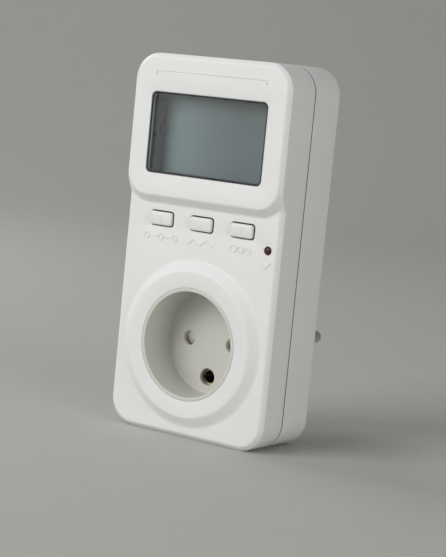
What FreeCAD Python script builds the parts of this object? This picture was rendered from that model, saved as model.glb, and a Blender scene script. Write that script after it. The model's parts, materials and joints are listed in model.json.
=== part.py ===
"""Plug-in power meter: a wall-plug housing with a socket well, a display and three keys.

Millimetres. X runs to the right as seen from the front, Y to the back, Z up.
The origin is the middle of the underside, on which the meter stands.
Inside each body Y is the depth behind the lower front face, and the body's
Placement moves it so that the housing is centred on the origin.
"""
import FreeCAD, Part
import math
import os
import re

import Sketcher
from FreeCAD import Vector

SIZES = {
    # housing
    "body_width": 68.0, "body_height": 136.4, "body_depth": 30.2,
    "corner_radius": 10.0, "edge_chamfer": 1.5, "rear_round": 2.0, "wall_size": 2.2,
    "split_depth": 12.8, "seam_gap": 0.35, "seam_lip": 1.5, "slip_gap": 0.05,
    # display block and window
    "display_proud": 2.9, "display_length": 53.5, "display_corner": 9.5, "display_slope": 1.2,
    "window_width": 50.4, "window_height": 29.1, "window_corner": 2.0, "window_drop": 28.35,
    "frame_border": 4.2, "frame_lining": 0.5, "lens_thick": 1.4, "lens_sunk": 0.4,
    "glass_depth": 6.0, "glass_thick": 2.8, "glass_border": 3.0, "zebra_height": 2.0,
    # keys
    "key_pitch": 17.7, "key_width": 9.6, "key_height": 4.8, "key_corner": 0.9, "key_drop": 5.6,
    "key_proud": 1.2, "key_gap": 0.4, "key_flange": 0.9, "key_flange_thick": 0.9, "key_travel": 0.5,
    "stem_size": 3.2, "switch_size": 6.0, "switch_tall": 4.0, "plunger_tall": 1.1,
    "plunger_radius": 1.6, "plunger_gap": 0.15,
    # indicator lamp
    "lamp_place": 29.0, "lamp_drop": 11.2, "lamp_radius": 1.5, "lamp_gap": 0.08, "lamp_proud": 0.2,
    "lamp_length": 4.4, "lamp_rim": 0.3, "lamp_rim_tall": 1.0, "lamp_lead": 0.5, "lamp_lead_pitch": 1.5,
    # raised marks
    "mark_proud": 0.25, "mark_drop": 12.2, "lamp_mark_drop": 16.7, "mark_tall": 2.8,
    "mark_line": 0.55,
    "mark_step": 6.2, "mark_bar": 2.2, "wave_step": 2.8, "coin_step": 3.0, "tick_size": 1.8,
    "groove_width": 0.45, "groove_depth": 0.3, "groove_drop": 6.4, "groove_half": 24.1, "groove_end": 1.5,
    "cap_mark": 1.2, "cap_mark_line": 0.7,
    # socket
    "socket_height": 34.1, "ring_proud": 2.35, "ring_base": 30.0, "ring_flat": 26.4,
    "well_radius": 19.0, "well_depth": 14.75, "insert_wall": 1.3, "insert_floor": 1.7,
    "insert_flange": 25.0, "insert_flange_thick": 1.8, "chamber_depth": 3.2, "chamber_inset": 0.3,
    "carrier_plate": 2.0,
    "pin_spacing": 19.0, "earth_drop": 13.0, "pin_hole": 2.6, "earth_hole": 3.1,
    "carrier_screw_x": 13.5, "carrier_screw_drop": 11.5, "carrier_post": 2.3,
    # shutter
    "shutter_half": 12.6, "shutter_edge": 3.4, "shutter_travel": 6.2, "shutter_gap": 0.1,
    "rail_width": 1.2, "rail_ends": 1.0, "stop_half": 6.5, "shutter_toe": 0.8, "shutter_crest": 1.2,
    "spring_radius": 1.2, "spring_wire": 0.2, "spring_turns": 11.0,
    # contacts and plug
    "contact_radius": 2.95, "contact_bore": 2.35, "contact_slot": 0.9, "contact_collar": 3.8,
    "contact_play": 0.4, "contact_set_back": 0.2, "collar_thick": 1.5, "carrier_tube": 4.9,
    "power_contact_length": 13.0, "earth_contact_length": 12.0,
    "boss_radius": 18.5, "boss_length": 21.4, "boss_wall": 2.2, "boss_round": 1.2,
    "pin_radius": 2.4, "pin_length": 19.0, "pin_shoulder": 2.9, "pin_flange": 3.6, "pin_flange_thick": 2.0,
    "pin_tail": 1.5, "pin_tail_length": 3.5, "earth_pin_radius": 2.8, "earth_pin_flat": 1.2,
    "earth_pin_length": 17.0, "earth_pin_flange": 3.2, "strip_width": 3.0, "strip_thick": 0.6,
    "lead_radius": 0.9, "lead_end_rise": 4.0,
    # boards
    "board_thick": 1.6, "board_side_gap": 1.3, "display_board_depth": 11.0, "display_board_drop": 16.4,
    "display_board_top": 3.0, "power_board_depth": 15.5, "power_board_rise": 5.6,
    "header_half": 10.0, "header_rise": 3.0, "header_tall": 2.6,
    # larger parts on the boards
    "shunt_place": 7.0, "shunt_rise": 10.0, "shunt_length": 12.0, "shunt_width": 4.0,
    "shunt_tall": 4.0,
    "cell_place": 21.0, "cell_rise": 40.0, "cell_radius": 6.0, "cell_thick": 5.4, "cell_floor": 1.0,
    "cell_holder_side": 14.0, "cell_holder_tall": 4.5,
    "chip_radius": 7.5, "chip_tall": 1.6, "chip_round": 1.2,
    # fasteners
    "housing_screw_inset": 7.5, "housing_screw_rise": 5.8, "housing_screw": 1.4, "housing_head": 2.6,
    "housing_seat": 18.0, "front_post": 2.6, "rear_post": 4.1, "housing_screw_length": 12.0,
    "housing_head_thick": 2.0, "drive_length": 2.8, "drive_width": 0.6, "drive_depth": 1.0,
    "board_screw": 1.1, "board_head": 2.0, "board_head_thick": 1.4, "board_post": 2.3,
    "board_screw_length": 5.5, "screw_gap": 0.03, "screw_play": 0.25,
    # rear plate recess
    "plate_width": 42.0, "plate_height": 36.0, "plate_corner": 2.5, "plate_depth": 0.4, "plate_drop": 12.0,
}

# Block-shaped parts on the power board: place across it, rise above its lower edge,
# width, height, thickness and corner radius.
BLOCK_PARTS = {
    "mains_capacitor": (-15, 26, 18, 9, 9.2, 1),
    "metering_chip": (-14, 42, 10.3, 7.5, 2.4, 0.5),
    "crystal": (0, 42, 11, 4.6, 3.6, 2.2),
}

# Round parts that lie along Z on the power board: places across it, rise above its lower edge,
# length and radius.
ROUND_PARTS = {
    "storage_capacitors": ((5, 14), 18, 11.5, 4),
    "surge_absorber": ((-5,), 8, 3.6, 4.6),
    "rectifier_diodes": ((2, 6.5, 11, 15.5), 49, 5, 1.35),
    "dropper_resistors": ((-21, -16), 49, 10, 1.7),
}

# Bends of the leads: distance sideways from the lead's start, and the shares of its way forwards
# and upwards to the power board. Each lead then turns straight onto the board.
INLET_BENDS = [(0, 0.15, 0), (0, 0.34, 0.2), (0.2, 0.58, 0.28), (1.4, 0.77, 0.5),
               (2.6, 0.84, 0.77), (3, 0.85, 1)]
OUTLET_BENDS = [(-2.5, 0, 0), (-3.6, 0.2, 0.2), (-3.2, 0.55, 0.42), (-2.6, 0.79, 0.7), (-2, 0.74, 1)]

# Places worked out from the sizes above, as expressions.
FLOOR_FRONT = "(well_depth - ring_proud)"
FLOOR_BACK = f"({FLOOR_FRONT} + insert_floor)"
CHAMBER_BACK = f"({FLOOR_BACK} + chamber_depth)"
CARRIER_BACK = f"({CHAMBER_BACK} + carrier_plate)"
REAR_INSIDE = "(body_depth - wall_size)"
BOSS_END = "(body_depth + boss_length)"
BOSS_INSIDE = f"({BOSS_END} - boss_wall)"
BLOCK_INSIDE = "(wall_size - display_proud)"
FOOT = "(body_height - display_length)"
WINDOW_Z = "(body_height - window_drop)"
KEY_Z = f"({FOOT} - key_drop)"
LAMP_Z = f"({FOOT} - lamp_drop)"
MARK_Z = f"({FOOT} - mark_drop)"
EARTH_Z = "(socket_height - earth_drop)"
HALF = "(body_width / 2)"
INSIDE_HALF = f"({HALF} - wall_size)"
BOARD_HALF = f"({INSIDE_HALF} - board_side_gap)"
SCREW_X = f"({HALF} - housing_screw_inset)"
SCREW_TOP = "(body_height - housing_screw_rise)"
PIN_X = "(pin_spacing / 2)"
INSERT_OUTSIDE = "(well_radius + insert_wall)"
DISPLAY_BOARD_BACK = "(display_board_depth + board_thick)"
DISPLAY_BOARD_LOW = f"({FOOT} - display_board_drop)"
POWER_BOARD_BACK = "(power_board_depth + board_thick)"
POWER_BOARD_LOW = f"(socket_height + {INSERT_OUTSIDE} + power_board_rise)"
POWER_BOARD_HIGH = f"({SCREW_TOP} - rear_post - 0.4)"
SWITCH_FRONT = "(display_board_depth - switch_tall)"
STEM_END = f"({SWITCH_FRONT} - plunger_tall)"
PIN_ROOT = f"({BOSS_INSIDE} - pin_flange_thick)"
GLASS_BACK = "(glass_depth + glass_thick)"

HOUSING_SCREWS = [(side + SCREW_X, height) for side in ("-", "")
                  for height in ("housing_screw_rise", SCREW_TOP)]
DISPLAY_SCREWS = [(side + place, height) for side in ("-", "")
                  for place, height in ((f"({BOARD_HALF} - 3)", f"({FOOT} + 1)"),
                                        ("(body_width / 2 - 16)", SCREW_TOP))]
POWER_SCREWS = [(f"{side}({BOARD_HALF} - 3.2)", height) for side in ("-", "")
                for height in (f"({POWER_BOARD_LOW} + 3.5)", f"({POWER_BOARD_HIGH} - 4.5)")]
CARRIER_SCREWS = [(side + "carrier_screw_x", "(socket_height - carrier_screw_drop)") for side in ("-", "")]
PINS = [("-" + PIN_X, "socket_height"), (PIN_X, "socket_height")]

doc = FreeCAD.newDocument("PowerMeter")
sheet = doc.addObject("Spreadsheet::Sheet", "Sizes")
for row, (alias, size) in enumerate(SIZES.items(), start=1):
    sheet.set(f"A{row}", alias)
    sheet.set(f"B{row}", str(size))
    sheet.setAlias(f"B{row}", alias)
doc.recompute()
NODES = []


# ---------------------------------------------------------------- expressions
def cells(expression):
    """Point every size's name in an expression at its cell in the sheet."""
    return re.sub(r"[a-z]\w*", lambda word: "Sizes." + word[0] if word[0] in SIZES else word[0],
                  str(expression))


def number(expression):
    """The value that an expression has now."""
    value = sheet.evalExpression(cells(expression))
    return float(getattr(value, "Value", value))


def bind(item, path, expression):
    """Tie a property or a constraint to the sheet."""
    item.setExpression(path, cells(f"1 * ({expression})"))


# -------------------------------------------------------------------- sketches
def place_point(sketch, geometry, point, x, y):
    """Hold a point of the sketch at x, y from its origin."""
    for kind, value in (("DistanceX", x), ("DistanceY", y)):
        index = sketch.addConstraint(Sketcher.Constraint(kind, -1, 1, geometry, point, number(value)))
        bind(sketch, f"Constraints[{index}]", value)


def circle(sketch, x, y, radius):
    """A circle about x, y."""
    index = sketch.addGeometry(Part.Circle(Vector(number(x), number(y), 0), Vector(0, 0, 1), number(radius)))
    held = sketch.addConstraint(Sketcher.Constraint("Radius", index, number(radius)))
    bind(sketch, f"Constraints[{held}]", radius)
    place_point(sketch, index, 3, x, y)


def polygon(sketch, points):
    """Straight edges from point to point, and back to the first."""
    first = sketch.GeometryCount
    count = len(points)
    corners = [Vector(number(x), number(y), 0) for x, y in points]
    for step in range(count):
        sketch.addGeometry(Part.LineSegment(corners[step], corners[(step + 1) % count]))
    for step in range(count):
        following = first + (step + 1) % count
        sketch.addConstraint(Sketcher.Constraint("Coincident", first + step, 2, following, 1))
        place_point(sketch, first + step, 1, *points[step])


def box(sketch, left, right, low, high):
    """A rectangle with sharp corners."""
    polygon(sketch, [(left, low), (right, low), (right, high), (left, high)])


def rounded(sketch, left, right, low, high, radius):
    """A rectangle whose four corners are arcs of one radius."""
    west, east, south, north, turn = (number(value) for value in (left, right, low, high, radius))
    first = sketch.GeometryCount
    sides = [((west + turn, south), (east - turn, south)), ((east, south + turn), (east, north - turn)),
             ((east - turn, north), (west + turn, north)), ((west, north - turn), (west, south + turn))]
    centres = [(east - turn, south + turn), (east - turn, north - turn),
               (west + turn, north - turn), (west + turn, south + turn)]
    for quarter, (side, centre) in enumerate(zip(sides, centres)):
        sketch.addGeometry(Part.LineSegment(Vector(*side[0], 0), Vector(*side[1], 0)))
        start = (quarter - 1) * math.pi / 2
        corner = Part.Circle(Vector(*centre, 0), Vector(0, 0, 1), turn)
        sketch.addGeometry(Part.ArcOfCircle(corner, start, start + math.pi / 2))
    for step in range(8):
        sketch.addConstraint(Sketcher.Constraint("Tangent", first + step, 2, first + (step + 1) % 8, 1))
    for step, way in ((0, "Horizontal"), (2, "Vertical"), (4, "Horizontal"), (6, "Vertical")):
        sketch.addConstraint(Sketcher.Constraint(way, first + step))
    held = sketch.addConstraint(Sketcher.Constraint("Radius", first + 1, turn))
    bind(sketch, f"Constraints[{held}]", radius)
    for step in (3, 5, 7):
        sketch.addConstraint(Sketcher.Constraint("Equal", first + 1, first + step))
    for way, step, value in (("DistanceY", 0, low), ("DistanceX", 2, right),
                             ("DistanceY", 4, high), ("DistanceX", 6, left)):
        index = sketch.addConstraint(Sketcher.Constraint(way, -1, 1, first + step, 1, number(value)))
        bind(sketch, f"Constraints[{index}]", value)


def framed(sketch, x, z, width, height, radius):
    """A rounded rectangle about the centre x, z."""
    rounded(sketch, f"{x} - ({width}) / 2", f"{x} + ({width}) / 2",
            f"{z} - ({height}) / 2", f"{z} + ({height}) / 2", radius)


def outline(sketch, inset):
    """The housing's outline, drawn in by an inset."""
    rounded(sketch, f"{inset} - {HALF}", f"{HALF} - ({inset})", inset, f"body_height - ({inset})",
            f"corner_radius - ({inset})")


# -------------------------------------------------------------------- features
def make_body(label):
    """A body whose Y is the depth behind the lower front face."""
    body = doc.addObject("PartDesign::Body", label)
    body.Label = label
    body.AllowCompound = True
    bind(body, "Placement.Base.y", "-body_depth / 2")
    NODES.append(body)
    return body


def make_sketch(body, name, start, plane="XZ"):
    """A sketch on one of the body's planes, moved along that plane's axis to start."""
    support = next(item for item in body.Origin.OriginFeatures if item.Role == plane + "_Plane")
    sketch = body.newObject("Sketcher::SketchObject", name)
    sketch.AttachmentSupport = [(support, "")]
    sketch.MapMode = "FlatFace"
    bind(sketch, "AttachmentOffset.Base.z", f"-({start})" if plane == "XZ" else start)
    return sketch


def slab(body, kind, name, start, end, shapes, plane="XZ"):
    """Add (Pad) or take away (Pocket) outlines between two places along the plane's axis."""
    sketch = make_sketch(body, name + "Outline", start, plane)
    for draw, *values in shapes:
        draw(sketch, *values)
    feature = body.newObject("PartDesign::" + kind, name)
    feature.Profile = sketch
    bind(feature, "Length", f"({end}) - ({start})")
    feature.Reversed = (kind == "Pad") == (plane == "XZ")
    sketch.Visibility = False
    return feature


def loft(body, name, sections):
    """Ruled walls between rounded outlines, each given with its depth."""
    sketches = []
    for number_of, (depth, values) in enumerate(sections):
        sketch = make_sketch(body, f"{name}Section{number_of}", depth)
        rounded(sketch, *values)
        sketches.append(sketch)
    feature = body.newObject("PartDesign::AdditiveLoft", name)
    feature.Profile = sketches[0]
    feature.Sections = sketches[1:]
    feature.Ruled = True
    return feature


def edges_where(feature, test):
    """Names of the edges whose points all pass a test."""
    return [f"Edge{index}" for index, edge in enumerate(feature.Shape.Edges, start=1)
            if all(test(point) for point in edge.discretize(4))]


def dress(body, kind, name, base, test, size):
    """Chamfer or Fillet on the edges that pass a test."""
    doc.recompute()
    feature = body.newObject("PartDesign::" + kind, name)
    feature.Base = (base, edges_where(base, test))
    bind(feature, "Size" if kind == "Chamfer" else "Radius", size)
    return feature


def at_depth(depth):
    """A test for points at one depth."""
    return lambda point: abs(point.y - number(depth)) < 0.01


def ring(x, z, outer, inner):
    """Two circles about one centre, which leave a ring between them."""
    return [(circle, x, z, outer), (circle, x, z, inner)]


def circles(places, radius):
    """One circle at each place."""
    return [(circle, x, z, radius) for x, z in places]


# --------------------------------------------------------------------- housing
def key_places():
    """Name and centre of each key."""
    return [("function", "-key_pitch"), ("power", "0"), ("cost", "key_pitch")]


def make_front_cover():
    """Front shell: display block, socket ring, key openings and raised marks."""
    body = make_body("front_cover")
    base = slab(body, "Pad", "Shell", "0", "split_depth", [(outline, "0")])
    dress(body, "Chamfer", "FrontEdge", base, at_depth("0"), "edge_chamfer")
    block = [f"-{HALF}", HALF, FOOT, "body_height", "display_corner"]
    lifted = [f"-{HALF}", HALF, f"{FOOT} + display_slope", "body_height", "display_corner"]
    face = [f"edge_chamfer - {HALF}", f"{HALF} - edge_chamfer", f"{FOOT} + display_slope + edge_chamfer",
            "body_height - edge_chamfer", "display_corner - edge_chamfer"]
    slab(body, "Pad", "BlockRoot", "0", "edge_chamfer", [(rounded, *block)])
    loft(body, "BlockSide", [("0", block), ("edge_chamfer - display_proud", lifted)])
    loft(body, "BlockEdge", [("edge_chamfer - display_proud", lifted), ("-display_proud", face)])
    sketch = make_sketch(body, "RingOutline", "0")
    circle(sketch, "0", "socket_height", "ring_base")
    cone = body.newObject("PartDesign::Pad", "Ring")
    cone.Profile = sketch
    bind(cone, "Length", "ring_proud")
    bind(cone, "TaperAngle", "-atan((ring_base - ring_flat) / ring_proud)")
    dress(body, "Fillet", "RingEdge", cone, at_depth("-ring_proud"), "ring_proud / 2")
    add_marks(body)
    slab(body, "Pocket", "Hollow", "wall_size", "split_depth", [(outline, "wall_size")])
    slab(body, "Pocket", "BlockHollow", BLOCK_INSIDE, "wall_size",
         [(rounded, f"-{INSIDE_HALF}", INSIDE_HALF, f"{FOOT} + wall_size + display_slope",
           "body_height - wall_size", "corner_radius - wall_size")])
    slab(body, "Pocket", "RingRelief", "wall_size - ring_proud", "wall_size",
         [(circle, "0", "socket_height", "insert_flange + slip_gap")])
    slab(body, "Pad", "HousingPosts", BLOCK_INSIDE, "split_depth",
         circles([place for place in HOUSING_SCREWS if place[1] == SCREW_TOP], "front_post"))
    slab(body, "Pad", "LowPosts", "wall_size / 2", "split_depth",
         circles([place for place in HOUSING_SCREWS if place[1] != SCREW_TOP], "front_post"))
    slab(body, "Pad", "BoardPosts", "wall_size / 2", "display_board_depth",
         circles(DISPLAY_SCREWS[0::2], "board_post"))
    slab(body, "Pad", "TopBoardPosts", BLOCK_INSIDE, "display_board_depth",
         circles(DISPLAY_SCREWS[1::2], "board_post"))
    slab(body, "Pocket", "HousingPilots", "housing_seat - housing_screw_length", "split_depth",
         circles(HOUSING_SCREWS, "housing_screw + screw_gap"))
    slab(body, "Pocket", "BoardPilots", f"{DISPLAY_BOARD_BACK} - board_screw_length - 0.5",
         "display_board_depth", circles(DISPLAY_SCREWS, "board_screw + screw_gap"))
    slab(body, "Pocket", "SeamRebate", "split_depth - seam_lip - 2 * slip_gap", "split_depth",
         [(outline, "wall_size / 2")])
    slab(body, "Pocket", "Window", "-display_proud", BLOCK_INSIDE,
         [(framed, "0", WINDOW_Z, "window_width", "window_height", "window_corner")])
    slab(body, "Pocket", "KeyOpenings", "0", "wall_size",
         [(framed, x, KEY_Z, "key_width + 2 * key_gap", "key_height + 2 * key_gap", "key_corner + key_gap")
          for _, x in key_places()])
    slab(body, "Pocket", "LampHole", "0", "wall_size",
         [(circle, "lamp_place", LAMP_Z, "lamp_radius + lamp_gap")])
    slab(body, "Pocket", "SocketOpening", "-ring_proud", "wall_size",
         [(circle, "0", "socket_height", f"{INSERT_OUTSIDE} + slip_gap")])
    return body


def add_marks(body):
    """Raised marks under the keys and the lamp, and the fine groove over the window."""
    half, line = "mark_tall / 2", "mark_line"
    rings = [shape for step in (-1, 0, 1)
             for shape in ring(f"{step} * mark_step - key_pitch", MARK_Z, half, f"{half} - {line}")]
    bars = [(box, f"{step} * mark_step - key_pitch - mark_bar / 2",
             f"{step} * mark_step - key_pitch + mark_bar / 2",
             f"{MARK_Z} - {line} / 2", f"{MARK_Z} + {line} / 2") for step in (-0.5, 0.5)]
    crest = [(f"{step} * wave_step", 1 if step % 2 else -1) for step in (-2, -1, 0, 1, 2)]
    wave = [(x, f"{MARK_Z} + {way} * ({half} - {line} / 2) + {line} / 2") for x, way in crest]
    wave += [(x, f"{MARK_Z} + {way} * ({half} - {line} / 2) - {line} / 2") for x, way in reversed(crest)]
    coins = [shape for step in (-1, 0, 1)
             for shape in ring(f"key_pitch + {step} * coin_step", MARK_Z, half,
                               f"{half} - {line} * (2 + {step}) / 2")]
    low = f"({FOOT} - lamp_mark_drop)"
    tick = [(f"lamp_place + {across} * tick_size", f"{low} + {rise} * tick_size")
            for across, rise in ((-1, 0.05), (-0.3, -0.7), (1.05, 0.7), (0.85, 0.95), (-0.3, -0.3),
                                 (-0.8, 0.3))]
    slab(body, "Pad", "Marks", "-mark_proud", "wall_size / 20",
         rings + bars + [(polygon, wave)] + coins + [(polygon, tick)])
    top = "(body_height - groove_drop)"
    inner_end, inner_top = "(groove_half - groove_width)", f"({top} - groove_width)"
    slab(body, "Pocket", "Groove", "-display_proud", "groove_depth - display_proud",
         [(polygon, [("-groove_half", f"{top} - groove_end"), (f"-{inner_end}", f"{top} - groove_end"),
                     (f"-{inner_end}", inner_top), (inner_end, inner_top),
                     (inner_end, f"{top} - groove_end"), ("groove_half", f"{top} - groove_end"),
                     ("groove_half", top), ("-groove_half", top)])])


def make_rear_cover():
    """Rear shell with the plug boss, screw wells and board posts."""
    body = make_body("rear_cover")
    back = slab(body, "Pad", "Shell", "split_depth + seam_gap", "body_depth", [(outline, "0")])
    dress(body, "Fillet", "RearEdge", back, at_depth("body_depth"), "rear_round")
    slab(body, "Pad", "SeamLip", "split_depth - seam_lip", "split_depth + wall_size / 2",
         [(outline, "wall_size / 2 + slip_gap")])
    boss = slab(body, "Pad", "Boss", "body_depth - wall_size / 2", BOSS_END,
                [(circle, "0", "socket_height", "boss_radius")])
    dress(body, "Fillet", "BossEdge", boss, at_depth(BOSS_END), "boss_round")
    slab(body, "Pocket", "Hollow", "split_depth - seam_lip", REAR_INSIDE, [(outline, "wall_size")])
    slab(body, "Pocket", "BossHollow", REAR_INSIDE, BOSS_INSIDE,
         [(circle, "0", "socket_height", "boss_radius - boss_wall")])
    slab(body, "Pad", "ScrewPosts", "split_depth", "body_depth - wall_size / 2",
         circles(HOUSING_SCREWS, "rear_post"))
    slab(body, "Pocket", "ScrewHoles", "split_depth", "housing_seat",
         circles(HOUSING_SCREWS, "housing_screw + screw_play"))
    slab(body, "Pocket", "ScrewWells", "housing_seat", "body_depth",
         circles(HOUSING_SCREWS, "housing_head + screw_play"))
    slab(body, "Pad", "BoardPosts", POWER_BOARD_BACK, "body_depth - wall_size / 2",
         circles(POWER_SCREWS, "board_post"))
    slab(body, "Pocket", "BoardPilots", POWER_BOARD_BACK, "power_board_depth + board_screw_length + 0.5",
         circles(POWER_SCREWS, "board_screw + screw_gap"))
    slab(body, "Pocket", "PinHoles", BOSS_INSIDE, BOSS_END, circles(PINS, "pin_shoulder + screw_gap"))
    slab(body, "Pocket", "EarthHole", BOSS_INSIDE, BOSS_END,
         [(circle, "0", EARTH_Z, "earth_pin_radius + screw_gap")])
    slab(body, "Pocket", "PlateRecess", "body_depth - plate_depth", "body_depth",
         [(framed, "0", f"({WINDOW_Z} - plate_drop)", "plate_width", "plate_height", "plate_corner")])
    return body


# ---------------------------------------------------------------------- socket
def make_socket_insert():
    """Cup that lines the well, with the shutter's chamber behind its floor."""
    body = make_body("socket_insert")
    centre = ("0", "socket_height")
    cup = slab(body, "Pad", "Cup", "-ring_proud", CHAMBER_BACK, [(circle, *centre, INSERT_OUTSIDE)])
    dress(body, "Fillet", "Lip", cup, at_depth("-ring_proud"), "insert_wall / 4")
    slab(body, "Pad", "Flange", "wall_size - ring_proud", "wall_size - ring_proud + insert_flange_thick",
         [(circle, *centre, "insert_flange")])
    slab(body, "Pocket", "Well", "-ring_proud", FLOOR_FRONT, [(circle, *centre, "well_radius")])
    slab(body, "Pocket", "Chamber", FLOOR_BACK, CHAMBER_BACK,
         [(circle, *centre, "well_radius - chamber_inset")])
    inner, outer = "(shutter_half + shutter_gap)", "(shutter_half + shutter_gap + rail_width)"
    rails = [(box, left, right, "socket_height - shutter_edge - rail_ends",
              "socket_height + shutter_edge + shutter_travel + rail_ends")
             for left, right in (("-" + outer, "-" + inner), (inner, outer))]
    stop = (box, "-stop_half", "stop_half", "socket_height - shutter_edge - shutter_gap - rail_width",
            "socket_height - shutter_edge - shutter_gap")
    slab(body, "Pad", "Rails", f"{FLOOR_BACK} - insert_floor / 4", CHAMBER_BACK,
         rails + [stop] + circles(CARRIER_SCREWS, "carrier_post"))
    slab(body, "Pocket", "PinHoles", FLOOR_FRONT, FLOOR_BACK, circles(PINS, "pin_hole"))
    slab(body, "Pocket", "EarthHole", FLOOR_FRONT, FLOOR_BACK, [(circle, "0", EARTH_Z, "earth_hole")])
    slab(body, "Pocket", "Pilots", f"{FLOOR_FRONT} + insert_floor / 2", CHAMBER_BACK,
         circles(CARRIER_SCREWS, "board_screw + screw_gap"))
    return body


def make_contact_carrier():
    """Plate behind the chamber, with a tube for each contact."""
    body = make_body("contact_carrier")
    slab(body, "Pad", "Plate", CHAMBER_BACK, CARRIER_BACK, [(circle, "0", "socket_height", INSERT_OUTSIDE)])
    slab(body, "Pad", "PowerTubes", f"{CARRIER_BACK} - carrier_plate / 4",
         f"{CHAMBER_BACK} + power_contact_length - collar_thick", circles(PINS, "carrier_tube"))
    slab(body, "Pad", "EarthTube", f"{CARRIER_BACK} - carrier_plate / 4",
         f"{FLOOR_BACK} + earth_contact_length - collar_thick", [(circle, "0", EARTH_Z, "carrier_tube")])
    slab(body, "Pocket", "Bores", CHAMBER_BACK, f"{CHAMBER_BACK} + power_contact_length",
         circles(PINS + [("0", EARTH_Z)], "contact_radius + contact_play"))
    slab(body, "Pocket", "ScrewHoles", CHAMBER_BACK, CARRIER_BACK,
         circles(CARRIER_SCREWS, "board_screw + screw_play"))
    return body


def make_shutter():
    """Safety shutter: a wedge that covers both pin holes and slides up."""
    body = make_body("shutter")
    front, back = f"({FLOOR_BACK} + shutter_gap)", f"({CHAMBER_BACK} - shutter_gap)"
    low, high = "socket_height - shutter_edge", "socket_height + shutter_edge"
    slab(body, "Pad", "Wedge", "-shutter_half", "shutter_half",
         [(polygon, [(f"{back} - shutter_toe", low), (back, low), (back, high), (front, high),
                     (front, f"{high} - shutter_crest")])], plane="YZ")
    return body


def make_shutter_spring():
    """Compression spring above the shutter, wound as a helix along Z."""
    radius, wire = number("spring_radius"), number("spring_wire")
    seat = number("socket_height + shutter_edge + slip_gap") + wire
    top = number("socket_height + well_radius - chamber_inset - 2 * slip_gap") - wire
    middle = number(f"({FLOOR_BACK} + {CHAMBER_BACK}) / 2")
    helix = Part.makeHelix((top - seat) / number("spring_turns"), top - seat, radius)
    helix.Placement = FreeCAD.Placement(Vector(0, middle, seat), FreeCAD.Rotation())
    start = Vector(radius, middle, seat)
    section = Part.Wire(Part.Circle(start, Vector(0, 1, 0), wire).toShape())
    coil = Part.Wire(helix.Edges).makePipeShell([section], True, True)
    return feature_node("shutter_spring", coil)


def feature_node(label, shape):
    """A plain feature whose shape is worked out here from the sheet's sizes."""
    item = doc.addObject("Part::Feature", label)
    item.Label = label
    item.Shape = shape
    bind(item, "Placement.Base.y", "-body_depth / 2")
    NODES.append(item)
    return item


def make_contact(label, x, z, seat, length):
    """Split spring sleeve with a collar that rests on the end of the carrier's tube."""
    body = make_body(label)
    start, end = f"({seat} + contact_set_back)", f"({seat} + {length})"
    slab(body, "Pad", "Sleeve", start, end, ring(x, z, "contact_radius", "contact_bore"))
    slab(body, "Pad", "Collar", f"{end} - collar_thick", end,
         ring(x, z, "contact_collar", "contact_bore + 2 * slip_gap"))
    slab(body, "Pocket", "Slot", start, f"{end} - 2 * collar_thick",
         [(box, f"{x} - contact_collar", f"{x} + contact_collar", f"{z} - contact_slot / 2",
           f"{z} + contact_slot / 2")])
    return body


def make_pin(label, x):
    """Round plug pin with a shoulder in the boss's wall, a flange inside it and a tail for its wire."""
    body = make_body(label)
    place = (x, "socket_height")
    tip = f"({BOSS_END} + pin_length)"
    shaft = slab(body, "Pad", "Shaft", f"{BOSS_END} - boss_wall / 2", tip, [(circle, *place, "pin_radius")])
    dress(body, "Fillet", "Tip", shaft, at_depth(tip), "pin_radius * 0.8")
    slab(body, "Pad", "Shoulder", BOSS_INSIDE, BOSS_END, [(circle, *place, "pin_shoulder")])
    slab(body, "Pad", "Flange", PIN_ROOT, BOSS_INSIDE, [(circle, *place, "pin_flange")])
    slab(body, "Pad", "Tail", f"{PIN_ROOT} - pin_tail_length", PIN_ROOT, [(circle, *place, "pin_tail")])
    return body


def make_earth_pin():
    """Earth pin: a round bar with a flat along its underside outside the boss."""
    body = make_body("earth_pin")
    tip = f"({BOSS_END} + earth_pin_length)"
    shaft = slab(body, "Pad", "Shaft", BOSS_INSIDE, tip, [(circle, "0", EARTH_Z, "earth_pin_radius")])
    dress(body, "Fillet", "Tip", shaft, at_depth(tip), "earth_pin_radius * 0.6")
    slab(body, "Pocket", "Flat", BOSS_END, tip,
         [(box, "-earth_pin_radius - 1", "earth_pin_radius + 1", f"{EARTH_Z} - earth_pin_radius - 1",
           f"{EARTH_Z} - earth_pin_flat")])
    slab(body, "Pad", "Flange", PIN_ROOT, BOSS_INSIDE, [(circle, "0", EARTH_Z, "earth_pin_flange")])
    return body


def make_strip(label, x, z, start):
    """Brass strip from a contact's collar straight back to its pin's flange."""
    body = make_body(label)
    slab(body, "Pad", "Strip", start, PIN_ROOT,
         [(box, f"{x} - strip_width / 2", f"{x} + strip_width / 2", z, f"{z} + strip_thick")])


def make_wire(label, points):
    """Insulated lead: straight runs joined by tangent arcs, with a round section."""
    spots = [Vector(*(number(value) for value in point)) for point in points]
    edges, start = [], spots[0]
    for before, corner, after in zip(spots, spots[1:], spots[2:]):
        into, out = corner - before, after - corner
        turn = into.getAngle(out)
        radius = 0.45 * min(into.Length, out.Length) / math.tan(turn / 2)
        reach = radius * math.tan(turn / 2)
        into.normalize()
        out.normalize()
        bisector = (out - into).normalize()
        centre = corner + bisector * (radius / math.cos(turn / 2))
        arc = [corner - into * reach, centre - bisector * radius, corner + out * reach]
        edges += [Part.LineSegment(start, arc[0]).toShape(), Part.Arc(*arc).toShape()]
        start = arc[2]
    edges.append(Part.LineSegment(start, spots[-1]).toShape())
    path = Part.Wire(edges)
    section = Part.Wire(Part.Circle(spots[0], spots[1] - spots[0], number("lead_radius")).toShape())
    return feature_node(label, path.makePipeShell([section], True, False))


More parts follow.
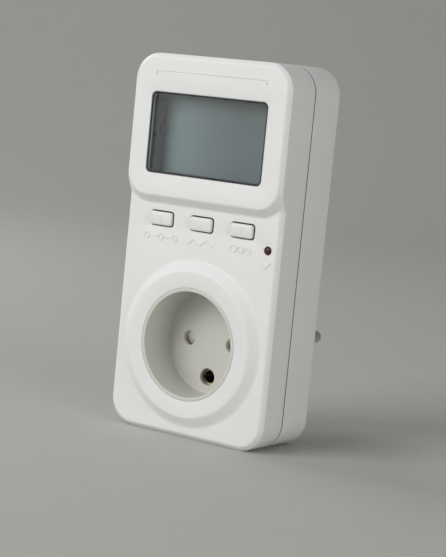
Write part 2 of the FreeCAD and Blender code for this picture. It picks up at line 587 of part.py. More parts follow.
def make_lead(label, start, way, bends):
    """A lead from its start, through its bends, and straight onto the power board."""
    x, depth, z = start
    ahead = f"({depth} - {POWER_BOARD_BACK})"
    rise = f"({POWER_BOARD_LOW} + lead_end_rise - {z})"
    points = [start]
    for aside, forwards, upwards in bends:
        points.append((f"{x} + {way} * {aside}", f"{depth} - {forwards} * {ahead}",
                       f"{z} + {upwards} * {rise}"))
    points.append((points[-1][0], POWER_BOARD_BACK, points[-1][2]))
    make_wire(label, points)


def make_leads():
    """The three leads inside the housing."""
    tail = f"({PIN_ROOT} - pin_tail_length)"
    make_lead("live_in_wire", (PIN_X, tail, "socket_height"), 1, INLET_BENDS)
    make_lead("neutral_wire", ("-" + PIN_X, tail, "socket_height"), -1, INLET_BENDS)
    collar = f"({CHAMBER_BACK} + power_contact_length - collar_thick / 3)"
    make_lead("live_out_wire", (f"({PIN_X} - contact_collar)", collar, "socket_height"), 1, OUTLET_BENDS)


# --------------------------------------------------------------------- display
def make_display():
    """Lens, black holder, glass and the two rubber connector strips."""
    inner = (framed, "0", WINDOW_Z, "window_width - 2 * frame_lining", "window_height - 2 * frame_lining",
             "window_corner - frame_lining")
    outer = (framed, "0", WINDOW_Z, "window_width + 2 * frame_border", "window_height + 2 * frame_border",
             "window_corner / 2")
    glass = (box, "-window_width / 2 - glass_border", "window_width / 2 + glass_border",
             f"{WINDOW_Z} - window_height / 2 - glass_border",
             f"{WINDOW_Z} + window_height / 2 + glass_border")
    frame = make_body("display_frame")
    front = "(2 * slip_gap - display_proud)"
    slab(frame, "Pad", "Holder", BLOCK_INSIDE, "display_board_depth", [outer])
    slab(frame, "Pad", "Lining", front, BLOCK_INSIDE,
         [(framed, "0", WINDOW_Z, "window_width - 2 * slip_gap", "window_height - 2 * slip_gap",
           "window_corner - slip_gap")])
    slab(frame, "Pocket", "Opening", front, "glass_depth", [inner])
    slab(frame, "Pocket", "GlassSeat", "glass_depth", "display_board_depth", [glass])
    lens = make_body("display_window")
    slab(lens, "Pad", "Lens", "lens_sunk - display_proud", "lens_sunk - display_proud + lens_thick",
         [inner])
    plate = make_body("display_glass")
    slab(plate, "Pad", "Glass", "glass_depth", GLASS_BACK, [glass])
    for label, low in (("upper_zebra_strip", f"{WINDOW_Z} + window_height / 2 + glass_border - zebra_height"),
                       ("lower_zebra_strip", f"{WINDOW_Z} - window_height / 2 - glass_border")):
        strip = make_body(label)
        slab(strip, "Pad", "Strip", GLASS_BACK, "display_board_depth",
             [(box, "-window_width / 2", "window_width / 2", low, f"{low} + zebra_height")])


def make_keys():
    """Cap and plunger of each key, and the switch under it."""
    for name, x in key_places():
        cap = make_body(name + "_button")
        face = slab(cap, "Pad", "Cap", "-key_proud", "wall_size + slip_gap + key_flange_thick",
                    [(framed, x, KEY_Z, "key_width", "key_height", "key_corner")])
        dress(cap, "Fillet", "CapEdge", face, at_depth("-key_proud"), "key_corner * 0.7")
        slab(cap, "Pad", "Flange", "wall_size + slip_gap", "wall_size + slip_gap + key_flange_thick",
             [(framed, x, KEY_Z, "key_width + 2 * key_flange", "key_height + 2 * key_flange", "key_corner")])
        slab(cap, "Pad", "Stem", "wall_size + key_flange_thick / 2", STEM_END,
             [(framed, x, KEY_Z, "stem_size", "stem_size", "stem_size / 8")])
        slab(cap, "Pad", "Mark", "-key_proud - mark_proud * 0.6", "key_corner / 4 - key_proud",
             key_mark(name, x))
        plunger = make_body(name + "_plunger")
        slab(plunger, "Pad", "Plunger", STEM_END, f"{SWITCH_FRONT} + plunger_tall",
             [(circle, x, KEY_Z, "plunger_radius")])
        switch = make_body(name + "_switch")
        slab(switch, "Pad", "Case", SWITCH_FRONT, "display_board_depth",
             [(framed, x, KEY_Z, "switch_size", "switch_size", "switch_size / 12")])
        slab(switch, "Pocket", "PlungerHole", SWITCH_FRONT,
             f"{SWITCH_FRONT} + plunger_tall + 1.2 * key_travel",
             [(circle, x, KEY_Z, "plunger_radius + plunger_gap")])


def key_mark(name, x):
    """The mark on a cap: a bar, or a triangle up or down."""
    if name == "function":
        return [(box, f"{x} - cap_mark_line / 2", f"{x} + cap_mark_line / 2",
                 f"{KEY_Z} - cap_mark", f"{KEY_Z} + cap_mark")]
    way = 1 if name == "power" else -1
    base, tip = f"{KEY_Z} - {way} * cap_mark * 0.85", f"{KEY_Z} + {way} * cap_mark * 0.9"
    return [(polygon, [(f"{x} - cap_mark", base), (f"{x} + cap_mark", base), (x, tip)])]


def make_lamp():
    """Indicator lamp, with its two leads to the display board."""
    lamp = make_body("status_lamp")
    place = ("lamp_place", LAMP_Z)
    end = "(lamp_length - lamp_proud)"
    dome = slab(lamp, "Pad", "Dome", "-lamp_proud", end, [(circle, *place, "lamp_radius")])
    dress(lamp, "Fillet", "Round", dome, at_depth("-lamp_proud"), "lamp_radius * 0.8")
    slab(lamp, "Pad", "Rim", f"{end} - lamp_rim_tall", end, [(circle, *place, "lamp_radius + lamp_rim")])
    leads = make_body("lamp_leads")
    slab(leads, "Pad", "Leads", end, "display_board_depth",
         [(framed, f"lamp_place + {side} * lamp_lead_pitch / 2", LAMP_Z, "lamp_lead", "lamp_lead",
           "lamp_lead / 5") for side in (-1, 1)])


# ---------------------------------------------------------------------- boards
def make_boards():
    """The two circuit boards and the pin header between them."""
    board = make_body("display_board")
    top = "body_height - display_board_top"
    notch, step = f"({SCREW_X} - front_post - 0.3)", f"({SCREW_TOP} - front_post - 0.3)"
    slab(board, "Pad", "Plate", "display_board_depth", DISPLAY_BOARD_BACK,
         [(polygon, [("-" + BOARD_HALF, DISPLAY_BOARD_LOW), (BOARD_HALF, DISPLAY_BOARD_LOW),
                     (BOARD_HALF, step), (notch, step), (notch, top), ("-" + notch, top),
                     ("-" + notch, step), ("-" + BOARD_HALF, step)])])
    slab(board, "Pocket", "Holes", "display_board_depth", DISPLAY_BOARD_BACK,
         circles(DISPLAY_SCREWS, "board_screw + screw_play"))
    power = make_body("power_board")
    slab(power, "Pad", "Plate", "power_board_depth", POWER_BOARD_BACK,
         [(rounded, "-" + BOARD_HALF, BOARD_HALF, POWER_BOARD_LOW, POWER_BOARD_HIGH, "1")])
    slab(power, "Pocket", "Holes", "power_board_depth", POWER_BOARD_BACK,
         circles(POWER_SCREWS, "board_screw + screw_play"))
    header = make_body("board_header")
    slab(header, "Pad", "Header", DISPLAY_BOARD_BACK, "power_board_depth",
         [(box, "-header_half", "header_half", f"{FOOT} + header_rise",
           f"{FOOT} + header_rise + header_tall")])


def make_components():
    """Parts soldered to the two boards."""
    for label, (x, rise, width, height, tall, corner) in BLOCK_PARTS.items():
        slab(make_body(label), "Pad", "Case", POWER_BOARD_BACK, f"{POWER_BOARD_BACK} + {tall}",
             [(framed, x, f"({POWER_BOARD_LOW} + {rise})", width, height, corner)])
    for label, (places, rise, length, radius) in ROUND_PARTS.items():
        low = f"({POWER_BOARD_LOW} + {rise})"
        slab(make_body(label), "Pad", "Cans", low, f"{low} + {length}",
             [(circle, x, f"{POWER_BOARD_BACK} + {radius}", radius) for x in places], plane="XY")
    make_shunt()
    make_cell()
    chip = make_body("controller_chip")
    end = f"({DISPLAY_BOARD_BACK} + chip_tall)"
    dome = slab(chip, "Pad", "Dome", DISPLAY_BOARD_BACK, end, [(circle, "0", WINDOW_Z, "chip_radius")])
    dress(chip, "Fillet", "Round", dome, at_depth(end), "chip_round")


def make_shunt():
    """Bridge of resistance strip that stands on two legs."""
    body = make_body("current_shunt")
    low, high = (f"({POWER_BOARD_LOW} + shunt_rise {way} shunt_width / 2)" for way in ("-", "+"))
    right = "(shunt_place + shunt_length)"
    top = f"({POWER_BOARD_BACK} + shunt_tall)"
    slab(body, "Pad", "Bridge", f"{top} - strip_thick", top, [(box, "shunt_place", right, low, high)])
    slab(body, "Pad", "Legs", POWER_BOARD_BACK, f"{top} - strip_thick / 2",
         [(box, "shunt_place", "shunt_place + strip_thick", low, high),
          (box, f"{right} - strip_thick", right, low, high)])


def make_cell():
    """Coin cell in its holder."""
    place = ("cell_place", f"({POWER_BOARD_LOW} + cell_rise)")
    floor = f"({POWER_BOARD_BACK} + cell_floor)"
    top = f"({POWER_BOARD_BACK} + cell_holder_tall)"
    holder = make_body("cell_holder")
    slab(holder, "Pad", "Case", POWER_BOARD_BACK, top,
         [(framed, *place, "cell_holder_side", "cell_holder_side", "cell_holder_side / 8")])
    slab(holder, "Pocket", "Cup", floor, top, [(circle, *place, "cell_radius + 2 * slip_gap")])
    slab(make_body("backup_cell"), "Pad", "Cell", floor, f"{floor} + cell_thick",
         [(circle, *place, "cell_radius")])


# ------------------------------------------------------------------- fasteners
def make_screws():
    """Housing screws, board screws and the carrier's screws."""
    housing = make_body("housing_screws")
    top = "(housing_seat + housing_head_thick)"
    slab(housing, "Pad", "Heads", "housing_seat", top, circles(HOUSING_SCREWS, "housing_head"))
    slab(housing, "Pad", "Shanks", "housing_seat - housing_screw_length + 1", "housing_seat",
         circles(HOUSING_SCREWS, "housing_screw"))
    slab(housing, "Pocket", "Drives", f"{top} - drive_depth", top,
         [(box, f"{x} - drive_length / 2", f"{x} + drive_length / 2",
           f"{z} - drive_width / 2", f"{z} + drive_width / 2") for x, z in HOUSING_SCREWS])
    display = make_body("display_board_screws")
    slab(display, "Pad", "Heads", DISPLAY_BOARD_BACK, f"{DISPLAY_BOARD_BACK} + board_head_thick",
         circles(DISPLAY_SCREWS, "board_head"))
    slab(display, "Pad", "Shanks", f"{DISPLAY_BOARD_BACK} - board_screw_length", DISPLAY_BOARD_BACK,
         circles(DISPLAY_SCREWS, "board_screw"))
    power = make_body("power_board_screws")
    slab(power, "Pad", "Heads", "power_board_depth - board_head_thick", "power_board_depth",
         circles(POWER_SCREWS, "board_head"))
    slab(power, "Pad", "Shanks", "power_board_depth", "power_board_depth + board_screw_length",
         circles(POWER_SCREWS, "board_screw"))
    carrier = make_body("carrier_screws")
    slab(carrier, "Pad", "Heads", CARRIER_BACK, f"{CARRIER_BACK} + board_head_thick",
         circles(CARRIER_SCREWS, "board_head"))
    slab(carrier, "Pad", "Shanks", f"{FLOOR_BACK} - insert_floor / 3", CARRIER_BACK,
         circles(CARRIER_SCREWS, "board_screw"))


def check_model():
    """Stop if any object failed, or if a node has no sound solid."""
    for item in doc.Objects:
        if "Invalid" in item.State or "Error" in item.State:
            raise RuntimeError(f"{item.Name} failed: {item.State}")
    for node in NODES:
        if node.Shape.isNull() or not node.Shape.isValid() or not node.Shape.Solids:
            raise RuntimeError(f"{node.Label} has no sound solid")


make_front_cover()
make_rear_cover()
make_socket_insert()
make_contact_carrier()
make_shutter()
make_shutter_spring()
make_contact("live_contact", PIN_X, "socket_height", CHAMBER_BACK, "power_contact_length")
make_contact("neutral_contact", "-" + PIN_X, "socket_height", CHAMBER_BACK, "power_contact_length")
make_contact("earth_contact", "0", EARTH_Z, FLOOR_BACK, "earth_contact_length")
make_pin("live_pin", PIN_X)
make_pin("neutral_pin", "-" + PIN_X)
make_earth_pin()
make_strip("neutral_strip", "-" + PIN_X, "socket_height - contact_collar + 0.2",
           f"{CHAMBER_BACK} + power_contact_length")
make_strip("earth_strip", "0", f"{EARTH_Z} + contact_collar - strip_thick - 0.2",
           f"{FLOOR_BACK} + earth_contact_length")
make_leads()
make_display()
make_keys()
make_lamp()
make_boards()
make_components()
make_screws()
doc.recompute()
check_model()

os.makedirs("parts", exist_ok=True)
for node in NODES:
    node.Shape.exportStep(f"parts/{node.Label}.step")
    volume = sum(solid.Volume for solid in node.Shape.Solids)
    print(f"{node.Label}: {len(node.Shape.Solids)} solid(s), {volume:.1f} mm3")
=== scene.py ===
import json
import math
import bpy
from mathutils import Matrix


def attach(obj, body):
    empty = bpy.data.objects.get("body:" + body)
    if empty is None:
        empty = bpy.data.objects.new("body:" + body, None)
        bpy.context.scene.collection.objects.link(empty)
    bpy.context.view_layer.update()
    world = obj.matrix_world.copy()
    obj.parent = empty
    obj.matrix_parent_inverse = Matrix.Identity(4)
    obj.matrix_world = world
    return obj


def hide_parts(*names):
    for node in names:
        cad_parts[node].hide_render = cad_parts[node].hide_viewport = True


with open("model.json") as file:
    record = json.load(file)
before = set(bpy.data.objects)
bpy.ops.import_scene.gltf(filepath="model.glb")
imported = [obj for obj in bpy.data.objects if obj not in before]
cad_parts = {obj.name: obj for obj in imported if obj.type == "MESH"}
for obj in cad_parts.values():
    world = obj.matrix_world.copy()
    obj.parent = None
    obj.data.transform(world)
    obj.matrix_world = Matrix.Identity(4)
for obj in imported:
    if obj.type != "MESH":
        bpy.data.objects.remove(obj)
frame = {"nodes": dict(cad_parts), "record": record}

from types import SimpleNamespace

import bmesh
import bpy
import numpy as np
from mathutils import Matrix, Vector
from mathutils.geometry import delaunay_2d_cdt

bl_info = {
    "name": "Plug-in power meter",
    "version": (1, 0, 0),
    "blender": (4, 2, 0),
    "location": "View3D > Sidebar > Power Meter",
    "description": "Builds the shells, keys, display, socket, pins and stage of a plug-in power meter",
    "category": "Object",
}

MM = 0.001
FRONT_Y = -15.1          # the lower front face, in millimetres
BODY = "housing"


def length(name, description, default):
    """A property that holds a length in metres."""
    return bpy.props.FloatProperty(name=name, description=description, default=default,
                                   min=0.0, unit="LENGTH", subtype="DISTANCE")


class HousingSizes(bpy.types.PropertyGroup):
    width: length("Width", "Width of the housing", 0.068)
    height: length("Height", "Height of the housing", 0.1364)
    depth: length("Depth", "Depth from the lower front face to the rear face", 0.0302)
    corner: length("Corner", "Radius of the four corners seen from the front", 0.010)
    chamfer: length("Chamfer", "Size of the sloped band round the front", 0.0015)
    rear_round: length("Rear round", "Radius of the rear edge", 0.002)
    wall: length("Wall", "Wall of both shells", 0.0022)
    split: length("Split", "Depth of the front shell's rear edge", 0.0128)
    seam: length("Seam", "Gap between the shells", 0.00035)
    lip: length("Lip", "Overlap of the rear shell's inner lip", 0.0015)
    soft: length("Softness", "Half-width of the soft turn at each crease", 0.00045)
    edge: length("Edge", "Radius where the sloped band meets the side", 0.0007)
    block_proud: length("Block height", "How far the display block stands proud", 0.0029)
    block_foot: length("Block foot", "Height of the lower edge of the block's flat face", 0.0856)
    block_corner: length("Block corner", "Corner radius of the block's flat face", 0.008)
    screw_across: length("Screw place", "Distance of the housing screws from the middle", 0.0265)
    screw_rise: length("Screw rise", "Distance of the housing screws from each end", 0.0058)


class SocketSizes(bpy.types.PropertyGroup):
    height: length("Height", "Height of the socket's middle", 0.0341)
    ring_proud: length("Ring height", "How far the ring stands proud", 0.00235)
    ring_base: length("Ring foot", "Radius where the ring's slope starts", 0.030)
    ring_flat: length("Ring flat", "Radius where the ring's slope ends", 0.0264)
    well: length("Well", "Radius of the well", 0.019)
    cup: length("Cup", "Outside radius of the cup that lines the well", 0.0203)
    floor: length("Floor", "Depth of the well's floor behind the lower front face", 0.0124)
    pin_across: length("Pin place", "Distance of each pin from the middle", 0.0095)
    pin_hole: length("Pin hole", "Radius of the pin holes", 0.0026)
    earth_drop: length("Earth drop", "Distance of the earth hole below the middle", 0.013)
    earth_hole: length("Earth hole", "Radius of the earth hole", 0.0031)
    boss: length("Boss", "Radius of the plug boss", 0.0185)
    boss_end: length("Boss end", "Depth of the boss's end face", 0.0516)
    pin: length("Pin", "Radius of the plug pins", 0.0024)
    pin_end: length("Pin end", "Depth of the pins' tips", 0.0706)


class DisplaySizes(bpy.types.PropertyGroup):
    width: length("Width", "Width of the window", 0.0504)
    height: length("Height", "Height of the window", 0.0291)
    middle: length("Middle", "Height of the window's middle", 0.10805)
    corner: length("Corner", "Corner radius of the window", 0.002)
    lining: length("Lining", "Thickness of the black lining", 0.0005)
    glass: length("Glass", "Depth of the display glass", 0.006)
    groove: length("Groove", "Height of the fine groove over the window", 0.130)


class KeySizes(bpy.types.PropertyGroup):
    pitch: length("Pitch", "Distance between neighbouring keys", 0.0177)
    height: length("Height", "Height of the keys' middle", 0.0773)
    wide: length("Cap width", "Width of a cap", 0.0096)
    tall: length("Cap height", "Height of a cap", 0.0048)
    corner: length("Cap corner", "Corner radius of a cap", 0.0009)
    proud: length("Proud", "How far a cap stands proud", 0.0012)
    gap: length("Gap", "Gap round a cap", 0.00045)
    lamp: length("Lamp place", "Distance of the lamp from the middle", 0.029)
    lamp_height: length("Lamp height", "Height of the lamp", 0.0717)
    marks: length("Marks", "Height of the raised marks' middle", 0.0707)


def hue(name, description, default):
    """A colour property, linear RGB."""
    return bpy.props.FloatVectorProperty(name=name, description=description, default=default,
                                         subtype="COLOR", size=3, min=0.0, max=1.0)


class Finishes(bpy.types.PropertyGroup):
    """Base colours of the plastics that show, before their noise and ramps."""
    shell: hue("Shell", "Colour of the two housing shells", (0.79, 0.79, 0.785))
    # The cup's colour is darker than the shell's: partly the cup's own tone, partly painted shade for the
    # well it lines.
    cup: hue("Socket cup", "Colour of the cup that lines the well", (0.62, 0.615, 0.575))
    key: hue("Keys", "Colour of the key caps", (0.775, 0.77, 0.745))
    display: hue("Display", "Colour of the blank display", (0.215, 0.295, 0.315))
    patch: hue("Display patch", "Colour of the faint patch on the display", (0.21, 0.27, 0.36))
    # The holder's colour is a blue-grey lighter than black plastic: a painted reflection on its inner wall.
    holder: hue("Display holder", "Colour of the holder's inner wall", (0.12, 0.135, 0.18))
    lamp: hue("Lamp", "Colour of the unlit lamp", (0.055, 0.006, 0.016))


SIZE_GROUPS = {"meter_housing": HousingSizes, "meter_socket": SocketSizes,
               "meter_display": DisplaySizes, "meter_keys": KeySizes}
GROUPS = {**SIZE_GROUPS, "meter_finishes": Finishes}


def sizes_in_mm(context):
    """The four groups of sizes as plain values in millimetres."""
    found = []
    for place, group in SIZE_GROUPS.items():
        held = getattr(context.scene, place)
        found.append(SimpleNamespace(**{name: getattr(held, name) / MM for name in group.__annotations__}))
    return found


# ------------------------------------------------------------------ small helpers
def smooth_ramp(distance, soft):
    """Zero before the crease, the distance itself after it, and a parabola of half-width soft between."""
    middle = (distance + soft) ** 2 / (4 * soft)
    return np.where(distance < -soft, 0.0, np.where(distance > soft, distance, middle))


def smooth_lowest(first, second, soft):
    """The lower of two values, with a parabola where they cross."""
    return np.minimum(first, second) - np.maximum(0.0, soft - np.abs(first - second)) ** 2 / (4 * soft)


def box_distance(x, z, centre, half, corner):
    """Signed distance from a rectangle with round corners; positive outside."""
    across = np.abs(x - centre[0]) - (half[0] - corner)
    along = np.abs(z - centre[1]) - (half[1] - corner)
    outside = np.hypot(np.maximum(across, 0.0), np.maximum(along, 0.0))
    return outside + np.minimum(np.maximum(across, along), 0.0) - corner


def box_loop(centre, half, corner, turns=8, side_x=None, side_z=None):
    """Points round a rectangle with round corners, anticlockwise from its right side's foot.

    side_x and side_z hold the places of the points along the straight sides, from -1 to 1.
    """
    side_x = np.linspace(-1, 1, 3) if side_x is None else side_x
    side_z = np.linspace(-1, 1, 3) if side_z is None else side_z
    flat_x, flat_z = half[0] - corner, half[1] - corner
    swing = np.linspace(0, np.pi / 2, turns + 1)[1:-1]
    parts = []
    for quarter in range(4):
        places = side_z if quarter % 2 == 0 else side_x
        if quarter == 0:
            line = np.column_stack([np.full(len(places), half[0]), places * flat_z])
            heart = (flat_x, flat_z)
        elif quarter == 1:
            line = np.column_stack([-places * flat_x, np.full(len(places), half[1])])
            heart = (-flat_x, flat_z)
        elif quarter == 2:
            line = np.column_stack([np.full(len(places), -half[0]), -places * flat_z])
            heart = (-flat_x, -flat_z)
        else:
            line = np.column_stack([places * flat_x, np.full(len(places), -half[1])])
            heart = (flat_x, -flat_z)
        angle = swing + quarter * np.pi / 2
        arc = np.column_stack([heart[0] + corner * np.cos(angle), heart[1] + corner * np.sin(angle)])
        parts += [line, arc]
    return np.vstack(parts) + np.asarray(centre)


def circle_loop(centre, radius, count):
    """Points round a circle, anticlockwise."""
    angle = np.linspace(0, 2 * np.pi, count, endpoint=False)
    return np.column_stack([centre[0] + radius * np.cos(angle), centre[1] + radius * np.sin(angle)])


def inside_loop(points, loop):
    """True for each point inside a closed loop, by counting crossings."""
    found = np.zeros(len(points), dtype=bool)
    ahead = np.roll(loop, -1, axis=0)
    for (x0, z0), (x1, z1) in zip(loop, ahead):
        if z0 == z1:
            continue
        crosses = (z0 > points[:, 1]) != (z1 > points[:, 1])
        reach = x0 + (points[:, 1] - z0) * (x1 - x0) / (z1 - z0)
        found ^= crosses & (points[:, 0] < reach)
    return found


class Surface:
    """Points and faces gathered in millimetres: x, depth behind the lower front face, z."""

    def __init__(self):
        self.points = []
        self.faces = []

    def ring(self, loop, depth):
        """Adds a closed loop at one depth, or at a depth for each point; returns its indices."""
        first = len(self.points)
        depth = np.broadcast_to(depth, len(loop))
        self.points += [(x, d, z) for (x, z), d in zip(loop, depth)]
        return np.arange(first, first + len(loop))

    def band(self, first, second):
        """Quads between two closed rings of the same count."""
        ahead, beyond = np.roll(first, -1), np.roll(second, -1)
        self.faces += np.column_stack([first, ahead, beyond, second]).tolist()
        return second

    def stack(self, start, rings):
        """Bands from a ring through the given (loop, depth) pairs; returns the last ring."""
        for loop, depth in rings:
            start = self.band(start, self.ring(loop, depth))
        return start

    def fill(self, outer, holes=(), extra=None, height=None):
        """Triangles between an outer ring and hole rings, through extra points at height(x, z)."""
        rings = [outer, *holes]
        known = np.concatenate(rings)
        flat = np.array([(self.points[i][0], self.points[i][2]) for i in known])
        edges, start = [], 0
        for loop in rings:
            order = np.arange(start, start + len(loop))
            edges += np.column_stack([order, np.roll(order, -1)]).tolist()
            start += len(loop)
        if extra is not None and len(extra):
            first = len(self.points)
            self.points += [(x, d, z) for (x, z), d in zip(extra, height(extra[:, 0], extra[:, 1]))]
            known = np.concatenate([known, np.arange(first, first + len(extra))])
            flat = np.vstack([flat, extra])
        found = delaunay_2d_cdt([Vector(p) for p in flat], edges, [], 0, 1e-6)
        source = [origin[0] for origin in found[3]]
        triangles = np.array(found[2])
        middle = np.array([[v.x, v.y] for v in found[0]])[triangles].mean(axis=1)
        keep = inside_loop(middle, flat[:len(outer)])
        start = len(outer)
        for loop in rings[1:]:
            keep &= ~inside_loop(middle, flat[start:start + len(loop)])
            start += len(loop)
        self.faces += [[int(known[source[i]]) for i in face] for face in triangles[keep]]

    def tube(self, loops):
        """A closed solid from a pile of (loop, depth) rings, filled at both ends."""
        start = self.ring(*loops[0])
        self.fill(start)
        self.fill(self.stack(start, loops[1:]))

    def turned(self, centre, profile, count=48):
        """A closed solid of revolution about a line along depth, from (radius, depth) pairs."""
        self.tube([(circle_loop(centre, radius, count), depth) for radius, depth in profile])

    def pipe(self, centre, profile, count=48):
        """A closed ring-shaped solid of revolution; the profile returns to its start."""
        rings = [self.ring(circle_loop(centre, radius, count), depth) for radius, depth in profile]
        for here, there in zip(rings, rings[1:] + rings[:1]):
            self.band(here, there)

    def build(self, name, material, slot, body=BODY, crease=35.0):
        """Makes the object: outward normals, smooth faces, and sharp edges above the crease angle."""
        points = np.array(self.points, dtype=float)
        points[:, 1] += FRONT_Y
        mesh = bpy.data.meshes.new(name)
        mesh.from_pydata((points * MM).tolist(), [], self.faces)
        work = bmesh.new()
        work.from_mesh(mesh)
        loose = [vert for vert in work.verts if not vert.link_faces]
        bmesh.ops.delete(work, geom=loose, context="VERTS")
        bmesh.ops.recalc_face_normals(work, faces=work.faces)
        for edge in work.edges:
            edge.smooth = len(edge.link_faces) == 2 and edge.calc_face_angle() < math.radians(crease)
        for face in work.faces:
            face.smooth = True
        work.to_mesh(mesh)
        work.free()
        mesh.materials.append(material)
        thing = bpy.data.objects.new(name, mesh)
        bpy.context.scene.collection.objects.link(thing)
        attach(thing, body)
        return thing


def shrunk(loop, amount):
    """A loop drawn in by an amount along the bisector at each of its corners."""
    before = loop - np.roll(loop, 1, axis=0)
    after = np.roll(loop, -1, axis=0) - loop
    normals = []
    for edge in (before, after):
        edge = edge / np.linalg.norm(edge, axis=1, keepdims=True)
        normals.append(np.column_stack([-edge[:, 1], edge[:, 0]]))
    bisector = normals[0] + normals[1]
    return loop + amount * bisector / (1 + (normals[0] * normals[1]).sum(axis=1))[:, None]


def quarter_round(radius):
    """Pairs (gap from the wall, rise below the face) along a quarter circle, from face to wall."""
    swing = np.linspace(0, np.pi / 2, 4)
    return [(radius * (1 - math.sin(a)), radius * (1 - math.cos(a))) for a in swing]


def thinned(points, gap):
    """Points with those dropped that share a cell of the given size with an earlier one."""
    cells = np.round(points / gap).astype(np.int64)
    _, first = np.unique(cells, axis=0, return_index=True)
    return points[np.sort(first)]


# ------------------------------------------------------------------- front shell
def housing_loop(h, inset):
    """The housing's outline drawn in by an inset, with close points beside the display block's foot."""
    flat = h.height / 2 - h.corner
    foot = np.arange(h.block_foot - 4.6, h.block_foot + 9.0, 0.4)
    rise = np.concatenate([np.linspace(h.corner, foot[0] - 2, 26), foot,
                           np.linspace(foot[-1] + 2, h.height - h.corner, 14)])
    half = (h.width / 2 - inset, h.height / 2 - inset)
    side = (rise - h.height / 2) / flat
    return mirrored_box_loop((0, h.height / 2), half, h.corner - inset, side)


def mirrored_box_loop(centre, half, corner, side):
    """Like box_loop, with the same places along both upright sides."""
    loop = box_loop(centre, half, corner, 18, np.linspace(-1, 1, 21), side)
    count = len(side)
    left = count + 17 + 21 + 17
    loop[left:left + count, 1] = centre[1] + side[::-1] * (half[1] - corner)
    return loop


def face_depth(x, z, h, socket):
    """Depth of the front skin at x, z.

    The lower face is zero and slopes back near the outline. The display block and the socket's ring
    are flat tops with straight slopes, and the lowest of the three wins, with a soft turn between them.
    """
    inset = -box_distance(x, z, (0, h.height / 2), (h.width / 2, h.height / 2), h.corner)
    base = smooth_ramp(h.chamfer - inset, h.soft)
    centre, half = block_face(h)
    block = smooth_ramp(box_distance(x, z, centre, half, h.block_corner), h.soft) - h.block_proud
    slope = socket.ring_proud / (socket.ring_base - socket.ring_flat)
    radius = np.hypot(x, z - socket.height)
    ring = slope * smooth_ramp(radius - socket.ring_flat, h.soft) - socket.ring_proud
    return smooth_lowest(smooth_lowest(base, block, h.soft), ring, h.soft)


def block_face(h):
    """Centre and half sizes of the display block's flat face."""
    top = h.height - h.chamfer
    return (0, (top + h.block_foot) / 2), (h.width / 2 - h.chamfer, (top - h.block_foot) / 2)


def crease_points(h, socket):
    """Points along every crease of the front skin, in rows that follow the crease."""
    soft = h.soft
    steps = np.array([-soft - 0.4, -soft, -soft / 2, 0, soft / 2, soft])
    rows = [housing_loop(h, h.chamfer - step) for step in steps]
    centre, half = block_face(h)
    drop = h.block_proud
    slopes = np.concatenate([steps, [1.1, 1.7], drop - steps[:0:-1], [drop + soft + 0.4]])
    side = np.linspace(-1, 1, 21)
    for step in slopes:
        grown = (half[0] + step, half[1] + step)
        row = box_loop(centre, grown, h.block_corner + step, 18, np.linspace(-1, 1, 61), side)
        rows.append(row[row[:, 1] < h.block_foot + h.block_corner])
    run = socket.ring_base - socket.ring_flat
    reach = soft * run / socket.ring_proud
    for radius in (*(socket.ring_flat + steps), socket.ring_flat + run / 2,
                   *(socket.ring_base + reach * np.array([-1, -0.5, 0, 0.5, 1])),
                   socket.ring_base + reach + 0.4):
        rows.append(circle_loop((0, socket.height), radius, 200))
    points = thinned(np.vstack(rows), 0.13)
    middle, half_size = (0, h.height / 2), (h.width / 2, h.height / 2)
    inset = -box_distance(points[:, 0], points[:, 1], middle, half_size, h.corner)
    return points[inset > 0.3 * h.edge + 0.25]


def groove_loop(display, spread=0.0):
    """The fine groove over the window: a long bar with its two ends turned down."""
    half, top, line, end = 24.1, display.groove, 0.45, 1.5
    loop = np.array([(-half, top - end), (line - half, top - end), (line - half, top - line),
                     (half - line, top - line), (half - line, top - end), (half, top - end),
                     (half, top), (-half, top)])
    return shrunk(loop, -spread) if spread else loop


def mark_solids(shell, keys):
    """Raised marks: a chain of rings, a wave, three coins and a tick."""
    low, top, half, line = 0.1, -0.25, 1.4, 0.55
    level = keys.marks

    def prism(loop):
        """A raised shape with this outline, its top edge drawn in a little."""
        loop = np.array(loop, dtype=float)
        shell.tube([(loop, low), (loop, top + 0.06), (shrunk(loop, 0.06), top)])

    def coin(x, inner):
        """A raised ring from radius inner out to half the marks' height."""
        shell.pipe((x, level), [(half, low), (half, top + 0.06), (half - 0.06, top),
                                (inner + 0.06, top), (inner, top + 0.06), (inner, low)], 40)

    for step in (-1, 0, 1):
        coin(step * 6.2 - keys.pitch, half - line)
        coin(keys.pitch + step * 3.0, half - line * (2 + step) / 2)
    for step in (-0.5, 0.5):
        prism(box_loop((step * 6.2 - keys.pitch, level), (1.1, line / 2), 0.05, 2))
    crest = [(step * 2.8, 1 if step % 2 else -1) for step in (-2, -1, 0, 1, 2)]
    rise = half - line / 2
    lower = [(x, level + way * rise - line / 2) for x, way in crest]
    upper = [(x, level + way * rise + line / 2) for x, way in reversed(crest)]
    prism(lower + upper)
    tick = ((-1, 0.05), (-0.3, -0.7), (1.05, 0.7), (0.85, 0.95), (-0.3, -0.3), (-0.8, 0.3))
    prism([(keys.lamp + x * 1.8, keys.lamp_height - 5.5 + z * 1.8) for x, z in tick])


